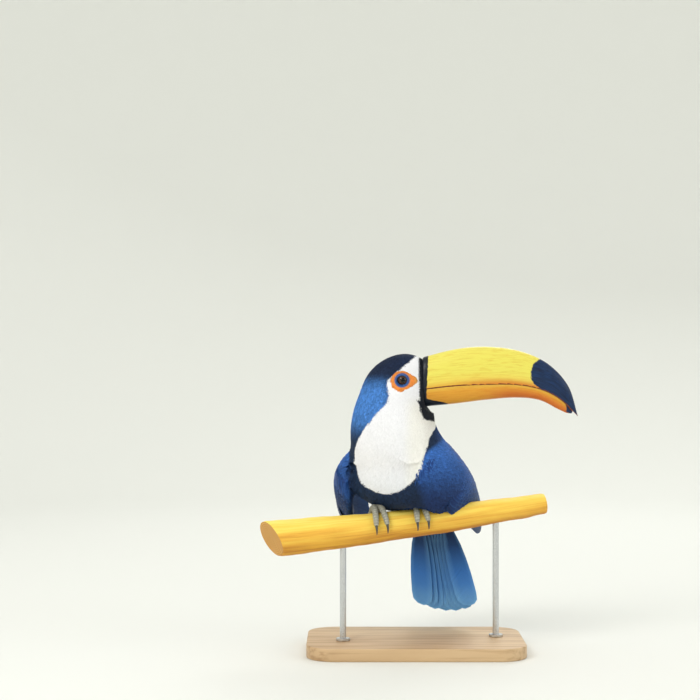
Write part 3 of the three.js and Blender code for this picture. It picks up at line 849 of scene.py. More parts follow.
# How broad a feather is beside its length. Then, for feathers of three lengths, how deep its root lies and
# how far its tip rises over the coat's surface.
BREADTH_SHARE = 0.36
SINK_AND_RISE = ((4, 0.7, 0.12), (8, 1.2, 0.22), (23, 2.6, 0.45))
VANE_TOP, VANE_UNDER = np.array([-1, 0, 1]), np.array([0])
STATIONS = np.array([0, 0.08, 0.4, 0.66, 0.85, 1])
SMALL_STATIONS = np.array([0, 0.1, 0.5, 0.82, 1])
BAKE_PATCH = 0.003
# The cells that the feathers' roots are sown in, along the spine and round it.
SOWN_ROWS, SOWN_COLUMNS = 180, 144
rng = np.random.default_rng(11)

# The barbs effect: fine slanting ridges on both sides of a feather's shaft, from its own map in
# centimetres.
barbs, brought, taken = effect("barbs", ("Spacing",), ("Height", "Streak"))
vane_place = add_node(barbs, "SeparateXYZ", {0: add_node(barbs, "UVMap", uv_map="Vane").outputs["UV"]})
beside = add_math(barbs, "ABSOLUTE", vane_place.outputs["X"])
slanted = add_math(barbs, "MULTIPLY_ADD", beside, -1.1, vane_place.outputs["Y"])
ridges = add_math(barbs, "SINE", add_math(barbs, "DIVIDE", slanted, brought.outputs["Spacing"]))
clumps = add_node(barbs, "CombineXYZ", {0: slanted})
clump_noise = add_node(barbs, "TexNoise", {"Vector": clumps.outputs[0], "Scale": 7.0, "Detail": 3.0})
shaft = add_range(barbs, beside, (0.0, 0.05), (3.0, 0.0))
barbs.links.new(add_math(barbs, "ADD", ridges, shaft), taken.inputs["Height"])
barbs.links.new(clump_noise.outputs["Fac"], taken.inputs["Streak"])


def feather_material(name, roughness, spacing, streak_range, plumage=True, **sockets):
    """A feather finish: its colours, streaked from barb to barb, with fine barbs as relief. plumage takes
    the colours from the markings' attributes, and otherwise they come from one attribute."""
    material, tree, shader = new_material(name, Roughness=roughness, **sockets)
    node = add_effect(tree, barbs, Spacing=spacing)
    streak = add_range(tree, node.outputs["Streak"], NOISE_SPAN, streak_range)
    wander = add_range(tree, node.outputs["Streak"], NOISE_SPAN)
    colour = add_plumage(tree, wander) if plumage else add_attribute(tree, "Markings", "Color")
    feed(shader, "Base Color", add_product(tree, colour, streak))
    set_bump(tree, shader, node.outputs["Height"], 0.35, 0.00012)
    return material


def lie(p):
    """The way that the coat lies: away from the bill on the head, along each wing on the wings, and down
    the spine on the rest. The spine's direction is its mean, weighted by nearness to each of its points."""
    share = np.linspace(0, 1, 33)
    spots = curve(SPINE, share)
    ways = unit(curve(SPINE, share - 0.01) - curve(SPINE, share + 0.01))
    far = np.sum((p[..., None, :] - spots) ** 2, -1)
    near = np.exp(-(far - far.min(-1, keepdims=True)) / 400)
    down = unit(near @ ways)
    away = p - LIE_SOURCE
    way = mix(unit(away), down, smooth(28, 80, np.linalg.norm(away, axis=-1))[..., None])
    on_left = ((p - BIRD[0]) @ BIRD[1][1] > 0)[..., None]
    along = np.where(on_left, wings["left"].along, wings["right"].along)
    return unit(mix(way, along, smooth(0.15, 0.75, wing_share(p))[..., None]))


def scatter(weight):
    """Even places on a grid of cells, as many as the weights add up to. Place i is at the share (i + 1/2) /
    n of the weight by rows, and along its row at the share i times the golden turn."""
    n = int(weight.sum())
    rows, columns = weight.shape
    by_row = np.concatenate([[0], np.cumsum(weight.sum(1))]) / weight.sum()
    u = np.interp((np.arange(n) + 0.5) / n, by_row, np.arange(rows + 1) / rows)
    along = np.cumsum(weight[np.minimum((u * rows).astype(int), rows - 1)], 1)
    share = (np.arange(n) * GOLDEN_TURN % 1) * along[:, -1]
    j = np.minimum((along < share[:, None]).sum(1), columns - 1)
    end = np.take_along_axis(along, j[:, None], 1)[:, 0]
    start = np.where(j > 0, np.take_along_axis(along, np.maximum(j - 1, 0)[:, None], 1)[:, 0], 0)
    return u, (j + (share - start) / np.maximum(end - start, 1e-9)) / columns


def cell_areas(points):
    """The areas of a grid's cells, from their diagonals."""
    cross = np.cross(points[1:, 1:] - points[:-1, :-1], points[:-1, 1:] - points[1:, :-1])
    return np.linalg.norm(cross, axis=-1) / 2


def march(start, length, levels, stations):
    """Lines of points that follow the lie over the body. levels gives how high each station lies."""
    lines = [to_level(start, levels[:, 0])]
    for k in range(1, len(stations)):
        p = lines[-1]
        way = square_to(lie(p), coat_normal(p))
        step = length * (stations[k] - stations[k - 1])
        lines.append(to_level(p + way * step[:, None], levels[:, k]))
    return np.stack(lines, 1)


def vane_outline(t, widest=0.62, point=0.5):
    """A feather's half width as a share of its greatest: it widens from the quill and falls to the tip as
    (1 - x ^ 2) ^ point, which is round for a half and pointed for more."""
    tip = np.clip((t - widest) / (1 - widest), 0, 1)
    return smooth(-0.12, 0.42, t) * (1 - tip ** 2) ** point * (t > 0)


def vane_rings(line, normal, half, thick, droop=0.1, tilt=0.0, shift=0.0, top=VANE_TOP, under=VANE_UNDER):
    """Rings round feathers' centre lines. Each is a lens whose edges droop by a share of its half width.
    thick is how thick it is in the middle. tilt lifts one edge over the other, and shift moves the shaft
    off the middle."""
    way = unit(np.gradient(line, axis=1))
    side = unit(np.cross(normal, way))
    up = np.cross(way, side)
    across = np.concatenate([top, under])
    face = np.concatenate([np.ones(len(top)), -np.ones(len(under))])
    half, thick = half[..., None], thick[..., None]
    flat = 1 - across ** 2
    height = face * flat * thick / 2 - droop * half * across ** 2 - tilt * half * across
    beside = half * (across + shift * flat)
    return line[:, :, None] + side[:, :, None] * beside[..., None] + up[:, :, None] * height[..., None]


def vane_maps(length, half, stations, bake_at, top=VANE_TOP, under=VANE_UNDER):
    """The maps of a set of feathers: Vane holds the place on the feather in centimetres, and OFBake is a
    small patch round a given place for each feather, such as its root's place in the grid it was sown on."""
    across = np.concatenate([top, under])
    shape = (len(length), len(stations), len(across))
    x = half[:, :, None] * across / 10
    y = length[:, None, None] * stations[:, None] / 10
    patch = np.stack(np.broadcast_arrays(across[None, None] * 0.5, stations[None, :, None] - 0.5), -1)
    bake = bake_at[:, None, None] + BAKE_PATCH * patch
    return {"OFBake": np.broadcast_to(bake, shape + (2,)), "Vane": np.stack(np.broadcast_arrays(x, y), -1)}


def under_wing(p):
    """Whether points lie well under the back half of a folded wing, where no feather would show."""
    hidden, reach = np.zeros(p.shape[:-1], bool), np.zeros(p.shape[:-1])
    for wing in wings.values():
        s, across, out = wing.place(p)
        inner = ((p - BIRD[0]) @ BIRD[1][1] * wing.side > 0) & (across > -4)
        reach = np.where(inner, s, reach)
        room = np.where(across > 0, WING_ABOVE, WING_BELOW) * wing.leaf(s) - np.abs(across)
        hidden |= (room > 9) & (wing.height(s, across) - out > 9) & (s > 0.46) & (s < 0.8) & (out > -30)
    return hidden | (wing_share(p) > 0.6) & (reach > 0.47)


def branch_room(p):
    """How far points lie outside the bark."""
    middle = branch_middle(p[..., 0])
    return np.linalg.norm((p - middle)[..., 1:], axis=-1) * 0.99 - branch_radius(p[..., 0])


grid_u, grid_v = crossed(np.linspace(0, 1, SOWN_ROWS + 1), np.linspace(0, 1, SOWN_COLUMNS + 1))
coat_grid = round_spine(grid_u, grid_v, coat_distance)
cell_middle = (coat_grid[1:, 1:] + coat_grid[:-1, :-1]) / 2
bill_range = np.linalg.norm(cell_middle - LIE_SOURCE, axis=-1)
wanted = ((in_bill(cell_middle) < 0.3) & (bare_orbit(cell_middle) > 1.0) & ~under_wing(cell_middle)
          & (branch_room(cell_middle) > 0.5))
root_u, root_v = scatter(cell_areas(coat_grid) / look_up(SPACINGS, bill_range)[0] ** 2 * wanted)
roots = round_spine(root_u, root_v, coat_distance)
bill_range = np.linalg.norm(roots - LIE_SOURCE, axis=-1)
lengths = look_up(LENGTHS, bill_range)[0] * rng.uniform(0.88, 1.12, len(roots))
lengths = lengths * mix(1, 0.75, wing_share(roots))
roots = roots - lie(roots) * (0.5 * lengths * smooth(10, 34, bill_range))[:, None]
bake_places = np.stack([root_v, root_u], 1)
# Each piece's name, and the range of distances from the bill's root that its feathers grow in.
CONTOUR_BANDS = (("face_feathers", 0, 58), ("head_feathers", 58, 90), ("neck_feathers", 90, 124),
                 ("breast_feathers", 124, 162), ("trunk_feathers", 162, 1000))
contour_material = feather_material("contour_feather", 0.62, 0.04, (0.92, 1.05), Specular_IOR_Level=0.18)
for name, nearest, farthest in CONTOUR_BANDS:
    mine = (bill_range >= nearest) & (bill_range < farthest)
    stations = SMALL_STATIONS if farthest < 100 else STATIONS
    count, length = mine.sum(), lengths[mine]
    sink, rise = look_up(SINK_AND_RISE, length)
    rise = rise * rng.uniform(0.3, 1.2, count)
    line = march(roots[mine], length, mix(-sink[:, None], rise[:, None], stations ** 1.2), stations)
    # A feather that would reach over the bare patch, into the bill or into the branch is left out.
    keep = (bare_orbit(line).min(1) > 1.0) & (branch_room(line).min(1) > 0.3) & (in_bill(line).max(1) < 1.2)
    line, length, sown = line[keep], length[keep], bake_places[mine][keep]
    normal = coat_normal(line)
    swing = rng.normal(0, 0.06, len(line))[:, None, None] * stations[:, None] * length[:, None, None]
    line = line + swing * np.cross(normal, unit(np.gradient(line, axis=1)))
    half = vane_outline(stations, 0.55, 0.62) * (length * BREADTH_SHARE / 2)[:, None] * (stations < 1)
    half = half + 0.12 * (stations == 1)
    thick = np.broadcast_to(0.12 + 0.009 * length[:, None], half.shape)
    half, thick = half * (stations > 0), thick * (stations > 0)
    rings = vane_rings(line, normal, half, thick, 0.18, rng.normal(0, 0.04, (len(line), 1, 1)))
    dark, pale, margin = markings(rings)
    edge = np.abs(np.concatenate([VANE_TOP, VANE_UNDER]))[:, None]
    # Each feather is lighter at its edges and tip, which is a painted highlight, and darker at its root and
    # down its middle.
    painted_edge_light = 0.5 * edge ** 2 + 0.5 * stations[:, None, None] ** 2
    tone = rng.normal(1, 0.05, (len(line), 1, 1, 1))
    dark = np.clip(dark * (0.62 + 0.75 * painted_edge_light) * tone ** 3, 0, 1)
    pale = np.clip(pale * (0.94 + 0.06 * painted_edge_light) * tone ** 0.3, 0, 1)
    margin = margin + rng.normal(0, 0.5, (len(line), 1, 1))
    piece = tube_piece(name, rings, contour_material, vane_maps(length, half, stations, sown),
                       plumage_values((dark, pale, margin)))
    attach(piece, "root")

# ---------------------------------------------------------------- wings
# Each folded wing is a stack of long quills, from the innermost one on top to the outermost one at the
# wing's lower edge, under rows of coverts that get smaller towards the bend. Small feathers wrap its front
# edge. All are closed vanes of glossy blue.
# The lightest blue is a painted highlight on the wing feathers' edges and tips.
WING_DEEP = np.array([0.012, 0.042, 0.180])
WING_BLUE = np.array([0.026, 0.100, 0.38])
WING_EDGE_HIGHLIGHT = np.array([0.065, 0.210, 0.56])
LONG_STATIONS = np.array([0, 0.02, 0.12, 0.26, 0.4, 0.54, 0.67, 0.78, 0.87, 0.94, 0.98, 1])
LONG_TOP = np.array([-1, -0.8, -0.45, -0.12, 0, 0.12, 0.45, 0.8, 1])
LONG_UNDER = np.array([0.5, 0, -0.5])
LONG_ACROSS = np.concatenate([LONG_TOP, LONG_UNDER])
QUILLS = 18
# The quills' roots, from the innermost to the outermost: the share of the wing that they lie at, and how
# far up its back.
QUILL_ROOT_SHARE, QUILL_ROOT_UP = (0.32, 0.34), (21, -28)
# Along a wing's stack of quills: the share of the wing that the tips reach, how far up its back they lie,
# and half of the quills' breadth.
QUILL_TIPS = (
    (0.00, 0.60, 34, 13.5), (0.15, 0.665, 31, 13.0), (0.30, 0.73, 26, 12.5), (0.45, 0.80, 20, 11.5),
    (0.60, 0.885, 12, 10.5), (0.75, 0.965, 4, 9.5), (0.90, 1.00, -2, 8.5), (1.00, 0.965, -7, 7.5),
)
# Rows of coverts over the quills' roots: how many, the room between two feathers of a row, the share of the
# wing that their tips reach, their lengths and their half widths.
COVERT_ROWS, COVERT_PITCH = 12, 4.6
COVERT_REACH, COVERT_LENGTH, COVERT_HALF = (0.37, 0.63), (16, 34), (3.9, 6.6)
# The small feathers of the front edge: their rows and columns, the share of the wing that the rows lie
# between, the turns about the wing that the columns lie between, their lengths and their half widths. The
# leaf stands this far out at their roots and their tips, beside the wing's own.
EDGE_ROWS, EDGE_COLUMNS, EDGE_REACH, EDGE_TURNS = 17, 15, (0.02, 0.54), (1.65, 4.1)
EDGE_LENGTH, EDGE_HALF, EDGE_GIRTH = (15, 22), (3.6, 5.0), (0.80, 1.03)


def wing_paint(line, painted_gloss):
    """The blue of wing feathers: deep at the shaft and the root, lighter at the edge and the tip, which is
    a painted highlight, and darker low down on the wing, which is painted shade. The last argument sets how
    strong the painted highlight is."""
    t, a = LONG_STATIONS[:, None, None], np.abs(LONG_ACROSS)[None, :, None]
    blue = mix(WING_DEEP, WING_BLUE, smooth(0.2, 1.0, t) * 0.6 + smooth(0.1, 0.9, a) * 0.4)
    edge = smooth(0.62, 1.0, a) * 0.55 + smooth(0.9, 1.0, t) * 0.4
    # A random tone for each feather, times painted shade that darkens the wing low down.
    tone = rng.normal(1, 0.08, (len(line), 1)) * mix(0.35, 1.05, smooth(165, 250, line[..., 2]))
    return np.clip(mix(blue, WING_EDGE_HIGHLIGHT, edge * painted_gloss) * tone[..., None, None], 0, 1)


def on_blade(wing, x, y, lift):
    """Points over a wing's outer face from lengths along it and up its back, and the face's normals
    there."""
    s = x / wing.length
    ahead = wing.blade(s + 0.004, y) - wing.blade(s - 0.004, y)
    upward = wing.blade(s, y + 0.5) - wing.blade(s, y - 0.5)
    return wing.blade(s, y, lift), unit(np.cross(ahead, upward)) * wing.side


def bent_path(start, end, sag, t):
    """Flat paths from start to end: parabolas whose middle point lies sag of the way down from the
    start."""
    middle_x, middle_y = (start[0] + end[0]) / 2, mix(start[1], end[1], sag)
    return [(a * (1 - t) ** 2 + 2 * b * t * (1 - t) + c * t ** 2)
            for a, b, c in ((start[0], middle_x, end[0]), (start[1], middle_y, end[1]))]


def feather_fan(name, line, normal, half, thick, tilt, shift, paint, bake_at):
    """One piece of long feathers from their centre lines. thick is their depth at the root and at the
    tip."""
    half = np.broadcast_to(half, line.shape[:2])
    thick = mix(*thick, LONG_STATIONS) * (half > 0)
    rings = vane_rings(line, normal, half, thick, 0.10, tilt, shift, LONG_TOP, LONG_UNDER)
    length = np.linalg.norm(np.diff(line, axis=1), axis=-1).sum(1)
    maps = vane_maps(length, half, LONG_STATIONS, bake_at, LONG_TOP, LONG_UNDER)
    piece = tube_piece(name, rings, quill_material, maps, {"Markings": paint})
    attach(piece, "root")
    return piece


quill_material = feather_material("quill_feather", 0.45, 0.05, (0.75, 1.2), plumage=False,
                                  Specular_IOR_Level=0.16)
t = LONG_STATIONS[None, :]
for wing_name, wing in wings.items():
    k = np.linspace(0, 1, QUILLS)[:, None]
    tip_x, tip_y, breadth = look_up(QUILL_TIPS, k)
    root = (mix(*QUILL_ROOT_SHARE, k) * wing.length, mix(*QUILL_ROOT_UP, k))
    x, y = bent_path(root, (tip_x * wing.length, tip_y), mix(0.4, 0.0, k), t)
    line, normal = on_blade(wing, x, y, mix(-2.6, -1.1, smooth(0.4, 1, x / wing.length)))
    half = vane_outline(t, 0.84) * breadth
    feather_fan(f"{wing_name}_wing_quills", line, normal, half, (1.1, 0.45), 0.12 * wing.side,
                -0.3 * wing.side, wing_paint(line, 1.0), np.hstack([mix(0.15, 0.25, k), k]))

    reach, across, share = [], [], []
    for row in np.linspace(0, 1, COVERT_ROWS):
        middle = mix(*COVERT_REACH, row)
        low, high = -WING_BELOW * wing.leaf(middle) * 0.90, WING_ABOVE * wing.leaf(middle) * 0.94
        pitch = COVERT_PITCH * mix(0.8, 1.5, row)
        at = np.arange(low + pitch * rng.uniform(0, 1), high, pitch)
        across.append(at)
        bow = 0.05 * smooth(5, -40, at) - 0.05 * smooth(5, 50, at)
        reach.append(middle + bow + rng.normal(0, 0.006, len(at)))
        share.append(np.full(len(at), row))
    reach, across, share = (np.concatenate(parts)[:, None] for parts in (reach, across, share))
    span = mix(*COVERT_LENGTH, share) * rng.uniform(0.92, 1.08, share.shape)
    x, y = bent_path((reach * wing.length - span, across * 0.96), (reach * wing.length, across), 0.5, t)
    lift = mix(0.9, -0.1, share) - 1.6 * smooth(26, 50, across)
    line, normal = on_blade(wing, x, y, mix(-2.0, lift, t ** 1.2))
    half = vane_outline(t, 0.66, 0.55) * mix(*COVERT_HALF, share)
    tilt = rng.normal(0.03, 0.03, (len(line), 1, 1)) * wing.side
    feather_fan(f"{wing_name}_wing_coverts", line, normal, half, (0.5, 0.25), tilt, 0.0,
                wing_paint(line, 0.8), np.hstack([0.3 + 0.2 * share, 0.5 + 0.008 * across]))

    row, around = crossed(np.linspace(*EDGE_REACH, EDGE_ROWS), np.linspace(*EDGE_TURNS, EDGE_COLUMNS))
    around = around + 0.11 * (np.arange(EDGE_ROWS) % 2)[:, None] + rng.normal(0, 0.03, around.shape)
    # Past the flesh's end, the feathers that would lie against the inner face are left out.
    wrapped = (around < 3.3) | (row < 0.38)
    row, around = row[wrapped][:, None], around[wrapped][:, None]
    s = row + mix(*EDGE_LENGTH, row) / wing.length * t
    girth = mix(*EDGE_GIRTH, t ** 0.8)
    ahead = wing.shell(s + 0.004, around, girth, girth) - wing.shell(s - 0.004, around, girth, girth)
    turn = wing.shell(s, around + 0.02, girth, girth) - wing.shell(s, around - 0.02, girth, girth)
    line, normal = wing.shell(s, around, girth, girth), unit(np.cross(turn, ahead)) * wing.side
    half = vane_outline(t, 0.66, 0.55) * mix(*EDGE_HALF, row)
    tilt = rng.normal(0, 0.03, (len(line), 1, 1))
    feather_fan(f"{wing_name}_wing_edge", line, normal, half, (0.5, 0.25), tilt, 0.0,
                wing_paint(line, 0.5), np.hstack([0.3 + 0.3 * row, 0.1 * around]))

# ---------------------------------------------------------------- tail
# Ten broad quills lie in a closed fan with the middle pair on top. White coverts hide their roots above,
# and red ones below.
TAIL_TIP = (-124, 22, -145)
TAIL_ROOT_HALF, TAIL_TIP_HALF, TAIL_QUILLS, TAIL_BREADTH = 20, 48, 10, 15.0
TAIL_TOP_SHADE = np.array([0.005, 0.018, 0.060])
TAIL_MIDDLE = np.array([0.052, 0.225, 0.72])
TAIL_END = np.array([0.19, 0.49, 0.93])
# Each set of coverts: its name, its colour, which face of the tail it lies on, its length and its tips'
# reach.
TAIL_COVERTS = (
    ("rump_feathers", np.array([0.84, 0.84, 0.82]), 1, 40, 46),
    ("vent_feathers", np.array([0.48, 0.030, 0.016]), -1, 36, 36),
)
COVERT_SET_ROWS, COVERT_SET_HALF = 4, 8.5
tail_root = out_of(BIRD, TAIL_ROOT)
tail_along = out_of(BIRD, TAIL_TIP) - tail_root
tail_length = np.linalg.norm(tail_along)
tail_along /= tail_length
tail_side = square_to(BIRD[1][1], tail_along)
tail_back = np.cross(tail_side, tail_along)


def in_tail(along, beside, lift):
    """Points of the tail from a length along it, a length to the bird's left, and a height off its back."""
    return (tail_root + along[..., None] * tail_along + beside[..., None] * tail_side
            + lift[..., None] * tail_back)


def tail_half(share):
    """Half of the fan's breadth at a share of its length."""
    return mix(TAIL_ROOT_HALF, TAIL_TIP_HALF, np.clip(share, 0, 1) ** 0.8)


place = np.linspace(-1, 1, TAIL_QUILLS)[:, None]
reach = tail_length * (1 - 0.06 * place ** 2 - 0.012 * (np.arange(TAIL_QUILLS) % 2)[:, None])
half = vane_outline(t, 0.9, 0.6) * TAIL_BREADTH * mix(0.45, 1, smooth(0, 0.7, t))
beside = place * np.maximum(tail_half(t) - TAIL_BREADTH * mix(0.5, 1, t), 2)
line = in_tail(t * reach, beside, -4 * t * place ** 2)
edge = np.abs(LONG_ACROSS)[None, None, :, None]
# Each quill is darkest at its root, under the branch and the body: painted shade. It brightens to its tip,
# and its edges are lighter as a painted highlight.
shade = mix(TAIL_TOP_SHADE, TAIL_MIDDLE, smooth(0.25, 0.78, t)[..., None, None])
shade = mix(shade, TAIL_END, (smooth(0.7, 1.0, t)[..., None, None] * 0.7 + smooth(0.7, 1, edge) * 0.3))
paint = np.clip(shade * rng.normal(1, 0.06, (TAIL_QUILLS, 1, 1, 1)), 0, 1)
outwards = np.sign(place)[..., None]
normal = np.broadcast_to(tail_back, line.shape)
tail = feather_fan("tail_quills", line, normal, half, (0.9, 0.4), 0.06 * outwards, -0.15 * outwards, paint,
                   np.hstack([place * 0.4 + 0.5, place * 0 + 0.1]))
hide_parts("tail")
for name, colour, face, span, tip_at in TAIL_COVERTS:
    lines, sown = [], []
    for row in range(COVERT_SET_ROWS):
        place = np.linspace(-1, 1, 9 - row % 2)[:, None]
        along = tip_at - 9 * row - 7 * place ** 2 - span * (1 - t)
        beside = place * (20 - row) * mix(0.9, 1, t)
        lift = face * mix(9 + 3.0 * row, 3.2 + 1.6 * row, smooth(0, 1, t)) * (1 - 0.35 * place ** 2)
        lines.append(in_tail(along, beside, lift))
        sown.append(np.hstack([place * 0.3 + 0.5, place * 0 + 0.3 + 0.1 * row]))
    line, half = np.concatenate(lines), vane_outline(t, 0.7) * COVERT_SET_HALF
    normal = np.broadcast_to(face * tail_back, line.shape)
    paint = colour * mix(0.75, 1, t)[..., None, None] * rng.normal(1, 0.04, (len(line), 1, 1, 1))
    tilt = rng.normal(0, 0.04, (len(line), 1, 1))
    feather_fan(name, line, normal, half, (0.7, 0.3), tilt, 0.0, np.clip(paint, 0, 1), np.concatenate(sown))

# ---------------------------------------------------------------- bill
# Two mandibles, each one closed shell of glossy horn. The upper one is saw-edged, hangs a little over the
# lower one and carries a dark oval spot at its tip. A black band marks where each meets the face.
BILL_HALF_WIDTH, LOWER_SHARE, LOWER_REACH, ARCH_SHARE, CUT_GAP = 19, 0.955, 0.95, 0.72, 0.15
RIDGE = ((20, 29), (75, 43), (118, 46), (158, 40), (192, 24), (217, -4), (229, -42))
CUTTING_EDGE = ((20, -9), (72, -3), (112, -1), (150, -1), (182, -7), (207, -20), (229, -42))
LOWER_EDGE = ((20, -31), (72, -26), (112, -21), (150, -18), (180, -21), (203, -32), (220, -40))
BILL_ROWS, BILL_AROUND = 170, 100
# The rings that close a mandible's base: how wide they are, and how far ahead of the base they lie.
BASE_SHARES = np.array([0, 0.6, 0.9, 0.97])[:, None, None]
BASE_AHEAD = np.array([-2.4, -2.4, -2.0, -0.9])[:, None, None]
# The teeth along the upper cutting edge, and the length that their pitch goes by.
TOOTH_PITCH, TOOTH_DEPTH, TOOTH_RUN = 8.5, 0.8, 170
SPOT_AT, SPOT_WAY, SPOT_RADIUS, SPOT_TAPER = (190, 12), (0.66, -0.75), 20.5, 0.15
BILL_YELLOW, BILL_GOLD = np.array([0.76, 0.68, 0.115]), np.array([0.78, 0.60, 0.095])
BILL_ORANGE, BILL_RED = np.array([0.70, 0.32, 0.030]), np.array([0.56, 0.095, 0.016])
SPOT_BLACK, SPOT_BLUE = (0.003, 0.010, 0.036), (0.008, 0.034, 0.11)
GAPE_SHADE_BROWN, BAND_BLACK = (0.20, 0.045, 0.015, 1), (0.006, 0.010, 0.018, 1)


def side_line(points, s):
    """Points of a smooth line in the head's middle plane."""
    x, z = np.array(points, float).T
    return curve(out_of(HEAD, stack3(x, 0, z)), s)


def bill_section(s, v, far_edge, reach, width_share):
    """Points round a mandible at a share s of its length: an arch over the far edge for v under ARCH_SHARE,
    and the crowned palate for the rest. The half width falls as (1 - (0.995 s) ^ 1.7) ^ 0.8. Also returns
    the height over the cutting edge, and the place across from -1 to 1."""
    middle = side_line(CUTTING_EDGE, s * reach)
    out = side_line(far_edge, s) - middle
    height = np.linalg.norm(out, axis=-1) * np.where(reach < 1, np.sqrt(1 - smooth(0.9, 1.04, s) ** 2), 1)
    angle = np.minimum(v / ARCH_SHARE, 1) * np.pi
    across = np.where(v < ARCH_SHARE, np.cos(angle), 2 * (v - ARCH_SHARE) / (1 - ARCH_SHARE) - 1)
    crown = 1.3 * (1 if reach == 1 else -1) * (1 - across ** 2) * smooth(1.0, 0.9, s)
    rise = np.where(v < ARCH_SHARE, np.abs(np.sin(angle)) ** 0.9 * height, crown)
    half_width = width_share * BILL_HALF_WIDTH * (1 - (s * 0.995) ** 1.7) ** 0.8
    if reach < 1:
        half_width = half_width * np.sqrt(1 - smooth(0.9, 1.03, s) ** 2) + 0.2
    tooth = (s * TOOTH_RUN / TOOTH_PITCH + 0.25 * np.sin(s * 40)) % 1
    saw = TOOTH_DEPTH * (0.4 + tooth ** 2) * smooth(0.15, 0.3, s) * smooth(0.97, 0.85, s) * (reach == 1)
    rise = rise + CUT_GAP - saw * np.abs(across) ** 14
    beside = (half_width * np.sign(across) * np.abs(across) ** 0.75)[..., None] * HEAD[1][1]
    return middle + beside + unit(out) * rise[..., None], rise, across


def bill_rings(far_edge, reach, width_share):
    """A mandible whose base lies in the face's flat front: each line along it starts where it meets that
    plane. Returns its rings and, for their points, the height over the cutting edge, the place across, the
    share of the length, and two coordinates in the head's frame."""
    early, v = crossed(np.linspace(0, 0.3, 61), np.arange(BILL_AROUND) / BILL_AROUND)
    x = into(HEAD, bill_section(early, v, far_edge, reach, width_share)[0])[0]
    start = np.array([np.interp(BILL_BASE - 0.5, x[:, j], early[:, 0]) for j in range(BILL_AROUND)])
    s = mix(start, 1.0, np.sin(np.linspace(0, np.pi / 2, BILL_ROWS))[:, None])
    points, rise, across = bill_section(s, np.broadcast_to(v[0], s.shape), far_edge, reach, width_share)
    hub = points[0].mean(0)
    cap = hub + (points[0] - hub) * BASE_SHARES + HEAD[1][0] * BASE_AHEAD
    tip = np.broadcast_to(points[-1].mean(0), (1,) + points[-1].shape)
    rings = np.concatenate([cap, points, tip])
    x, _, z = into(HEAD, rings)
    return rings, *(np.pad(a, ((len(cap), 1), (0, 0)), mode="edge") for a in (rise, across, s)), x, z


def spot_depth(x, z):
    """How far inside the dark oval at the tip a place is, in millimetres."""
    dx, dz = x - SPOT_AT[0], z - SPOT_AT[1]
    along, off = dx * SPOT_WAY[0] + dz * SPOT_WAY[1], dx * -SPOT_WAY[1] + dz * SPOT_WAY[0]
    return SPOT_RADIUS - SPOT_TAPER * np.maximum(along, 0) - np.hypot(np.minimum(along, 0), off)


def add_edge(tree, name, wander, width):
    """A mask that is 1 where an attribute is over 0. Its edge wanders and is soft by so many
    millimetres."""
    moved = add_math(tree, "ADD", add_attribute(tree, name), add_mottle(tree, 300, -wander, wander))
    return add_range(tree, moved, (-width, width), interpolation_type="SMOOTHSTEP")


def horn_material(name):
    """The mandibles' finish: their colours along and across, then the dark marks, under a thin gloss."""
    material, tree, shader = new_material(name, Roughness=0.36, Specular_IOR_Level=0.25, Coat_Weight=0.06)
    lines, flecks = add_grain(tree, 9.0, 0.05), add_grain(tree, 3.0, 0.3)
    tint = add_attribute(tree, "Colour", "Color")
    for marks, darkest, clear_at in ((lines, (0.90, 0.80, 0.70), 0.5), (flecks, (0.96, 0.88, 0.78), 0.4)):
        shade = add_ramp(tree, marks, (0.0, darkest), (clear_at, (1, 1, 1)))
        tint = add_product(tree, tint, shade)
    dark = add_ramp(tree, lines, (0.0, SPOT_BLACK), (1.0, SPOT_BLUE))
    tint = add_mix(tree, add_edge(tree, "Spot", 1.1, 0.7), tint, dark)
    # A dark brown line along the cutting edge is painted shade in the gap where the mandibles meet.
    tint = add_mix(tree, add_edge(tree, "Mouth", 0.2, 0.3), tint, GAPE_SHADE_BROWN)
    feed(shader, "Base Color", add_mix(tree, add_edge(tree, "Band", 0.5, 0.3), tint, BAND_BLACK))
    feed(shader, "Roughness", add_range(tree, flecks, (0.0, 1.0), (0.42, 0.30)))
    set_bump(tree, shader, lines, 0.30, 0.00022)
    return material


def mandible(name, colour, spot, gape_shade, band):
    """A mandible's piece from the rings and places at hand, and from the four attributes that mark its
    horn."""
    values = {"Grain": stack3(s * 20, across * 1.9, rise / 10), "Colour": colour,
              "Spot": spot[..., None], "Mouth": gape_shade[..., None], "Band": band[..., None]}
    return tube_piece(f"{name}_bill", rings, horn_material(f"{name}_horn"), values=values, sharp=70)


def band_width(z):
    """How wide the black band is at a height in the head's frame."""
    return np.interp(z, [-30, 30], [2.6, 5.0])


rings, rise, across, s, x, z = bill_rings(RIDGE, 1, 1)
height = np.clip(rise / np.maximum(rise.max(1, keepdims=True), 1), 0, 1)
colour = mix(BILL_ORANGE, BILL_GOLD, smooth(-0.06, 0.18, height)[..., None])
colour = mix(colour, BILL_YELLOW, smooth(0.08, 0.40, height)[..., None])
colour = mix(colour, BILL_RED, (smooth(70, 120, x) * smooth(0.22, 0.0, height) * 0.55)[..., None])
upper_bill = mandible("upper", colour, spot_depth(x, z), 0.8 - np.abs(rise - CUT_GAP + 0.3),
                      BILL_BASE + band_width(z) - x)
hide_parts("bill_upper")
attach(upper_bill, "root")

rings, rise, across, s, x, z = bill_rings(LOWER_EDGE, LOWER_REACH, LOWER_SHARE)
height = np.clip(rise / np.maximum(rise.max(1, keepdims=True), 1), 0, 1)
colour = mix(BILL_ORANGE, BILL_GOLD, (0.45 * smooth(0.35, 0.0, height))[..., None])
colour = mix(colour, BILL_RED, (0.75 * smooth(95, 150, x) * smooth(0.1, 0.8, height))[..., None])
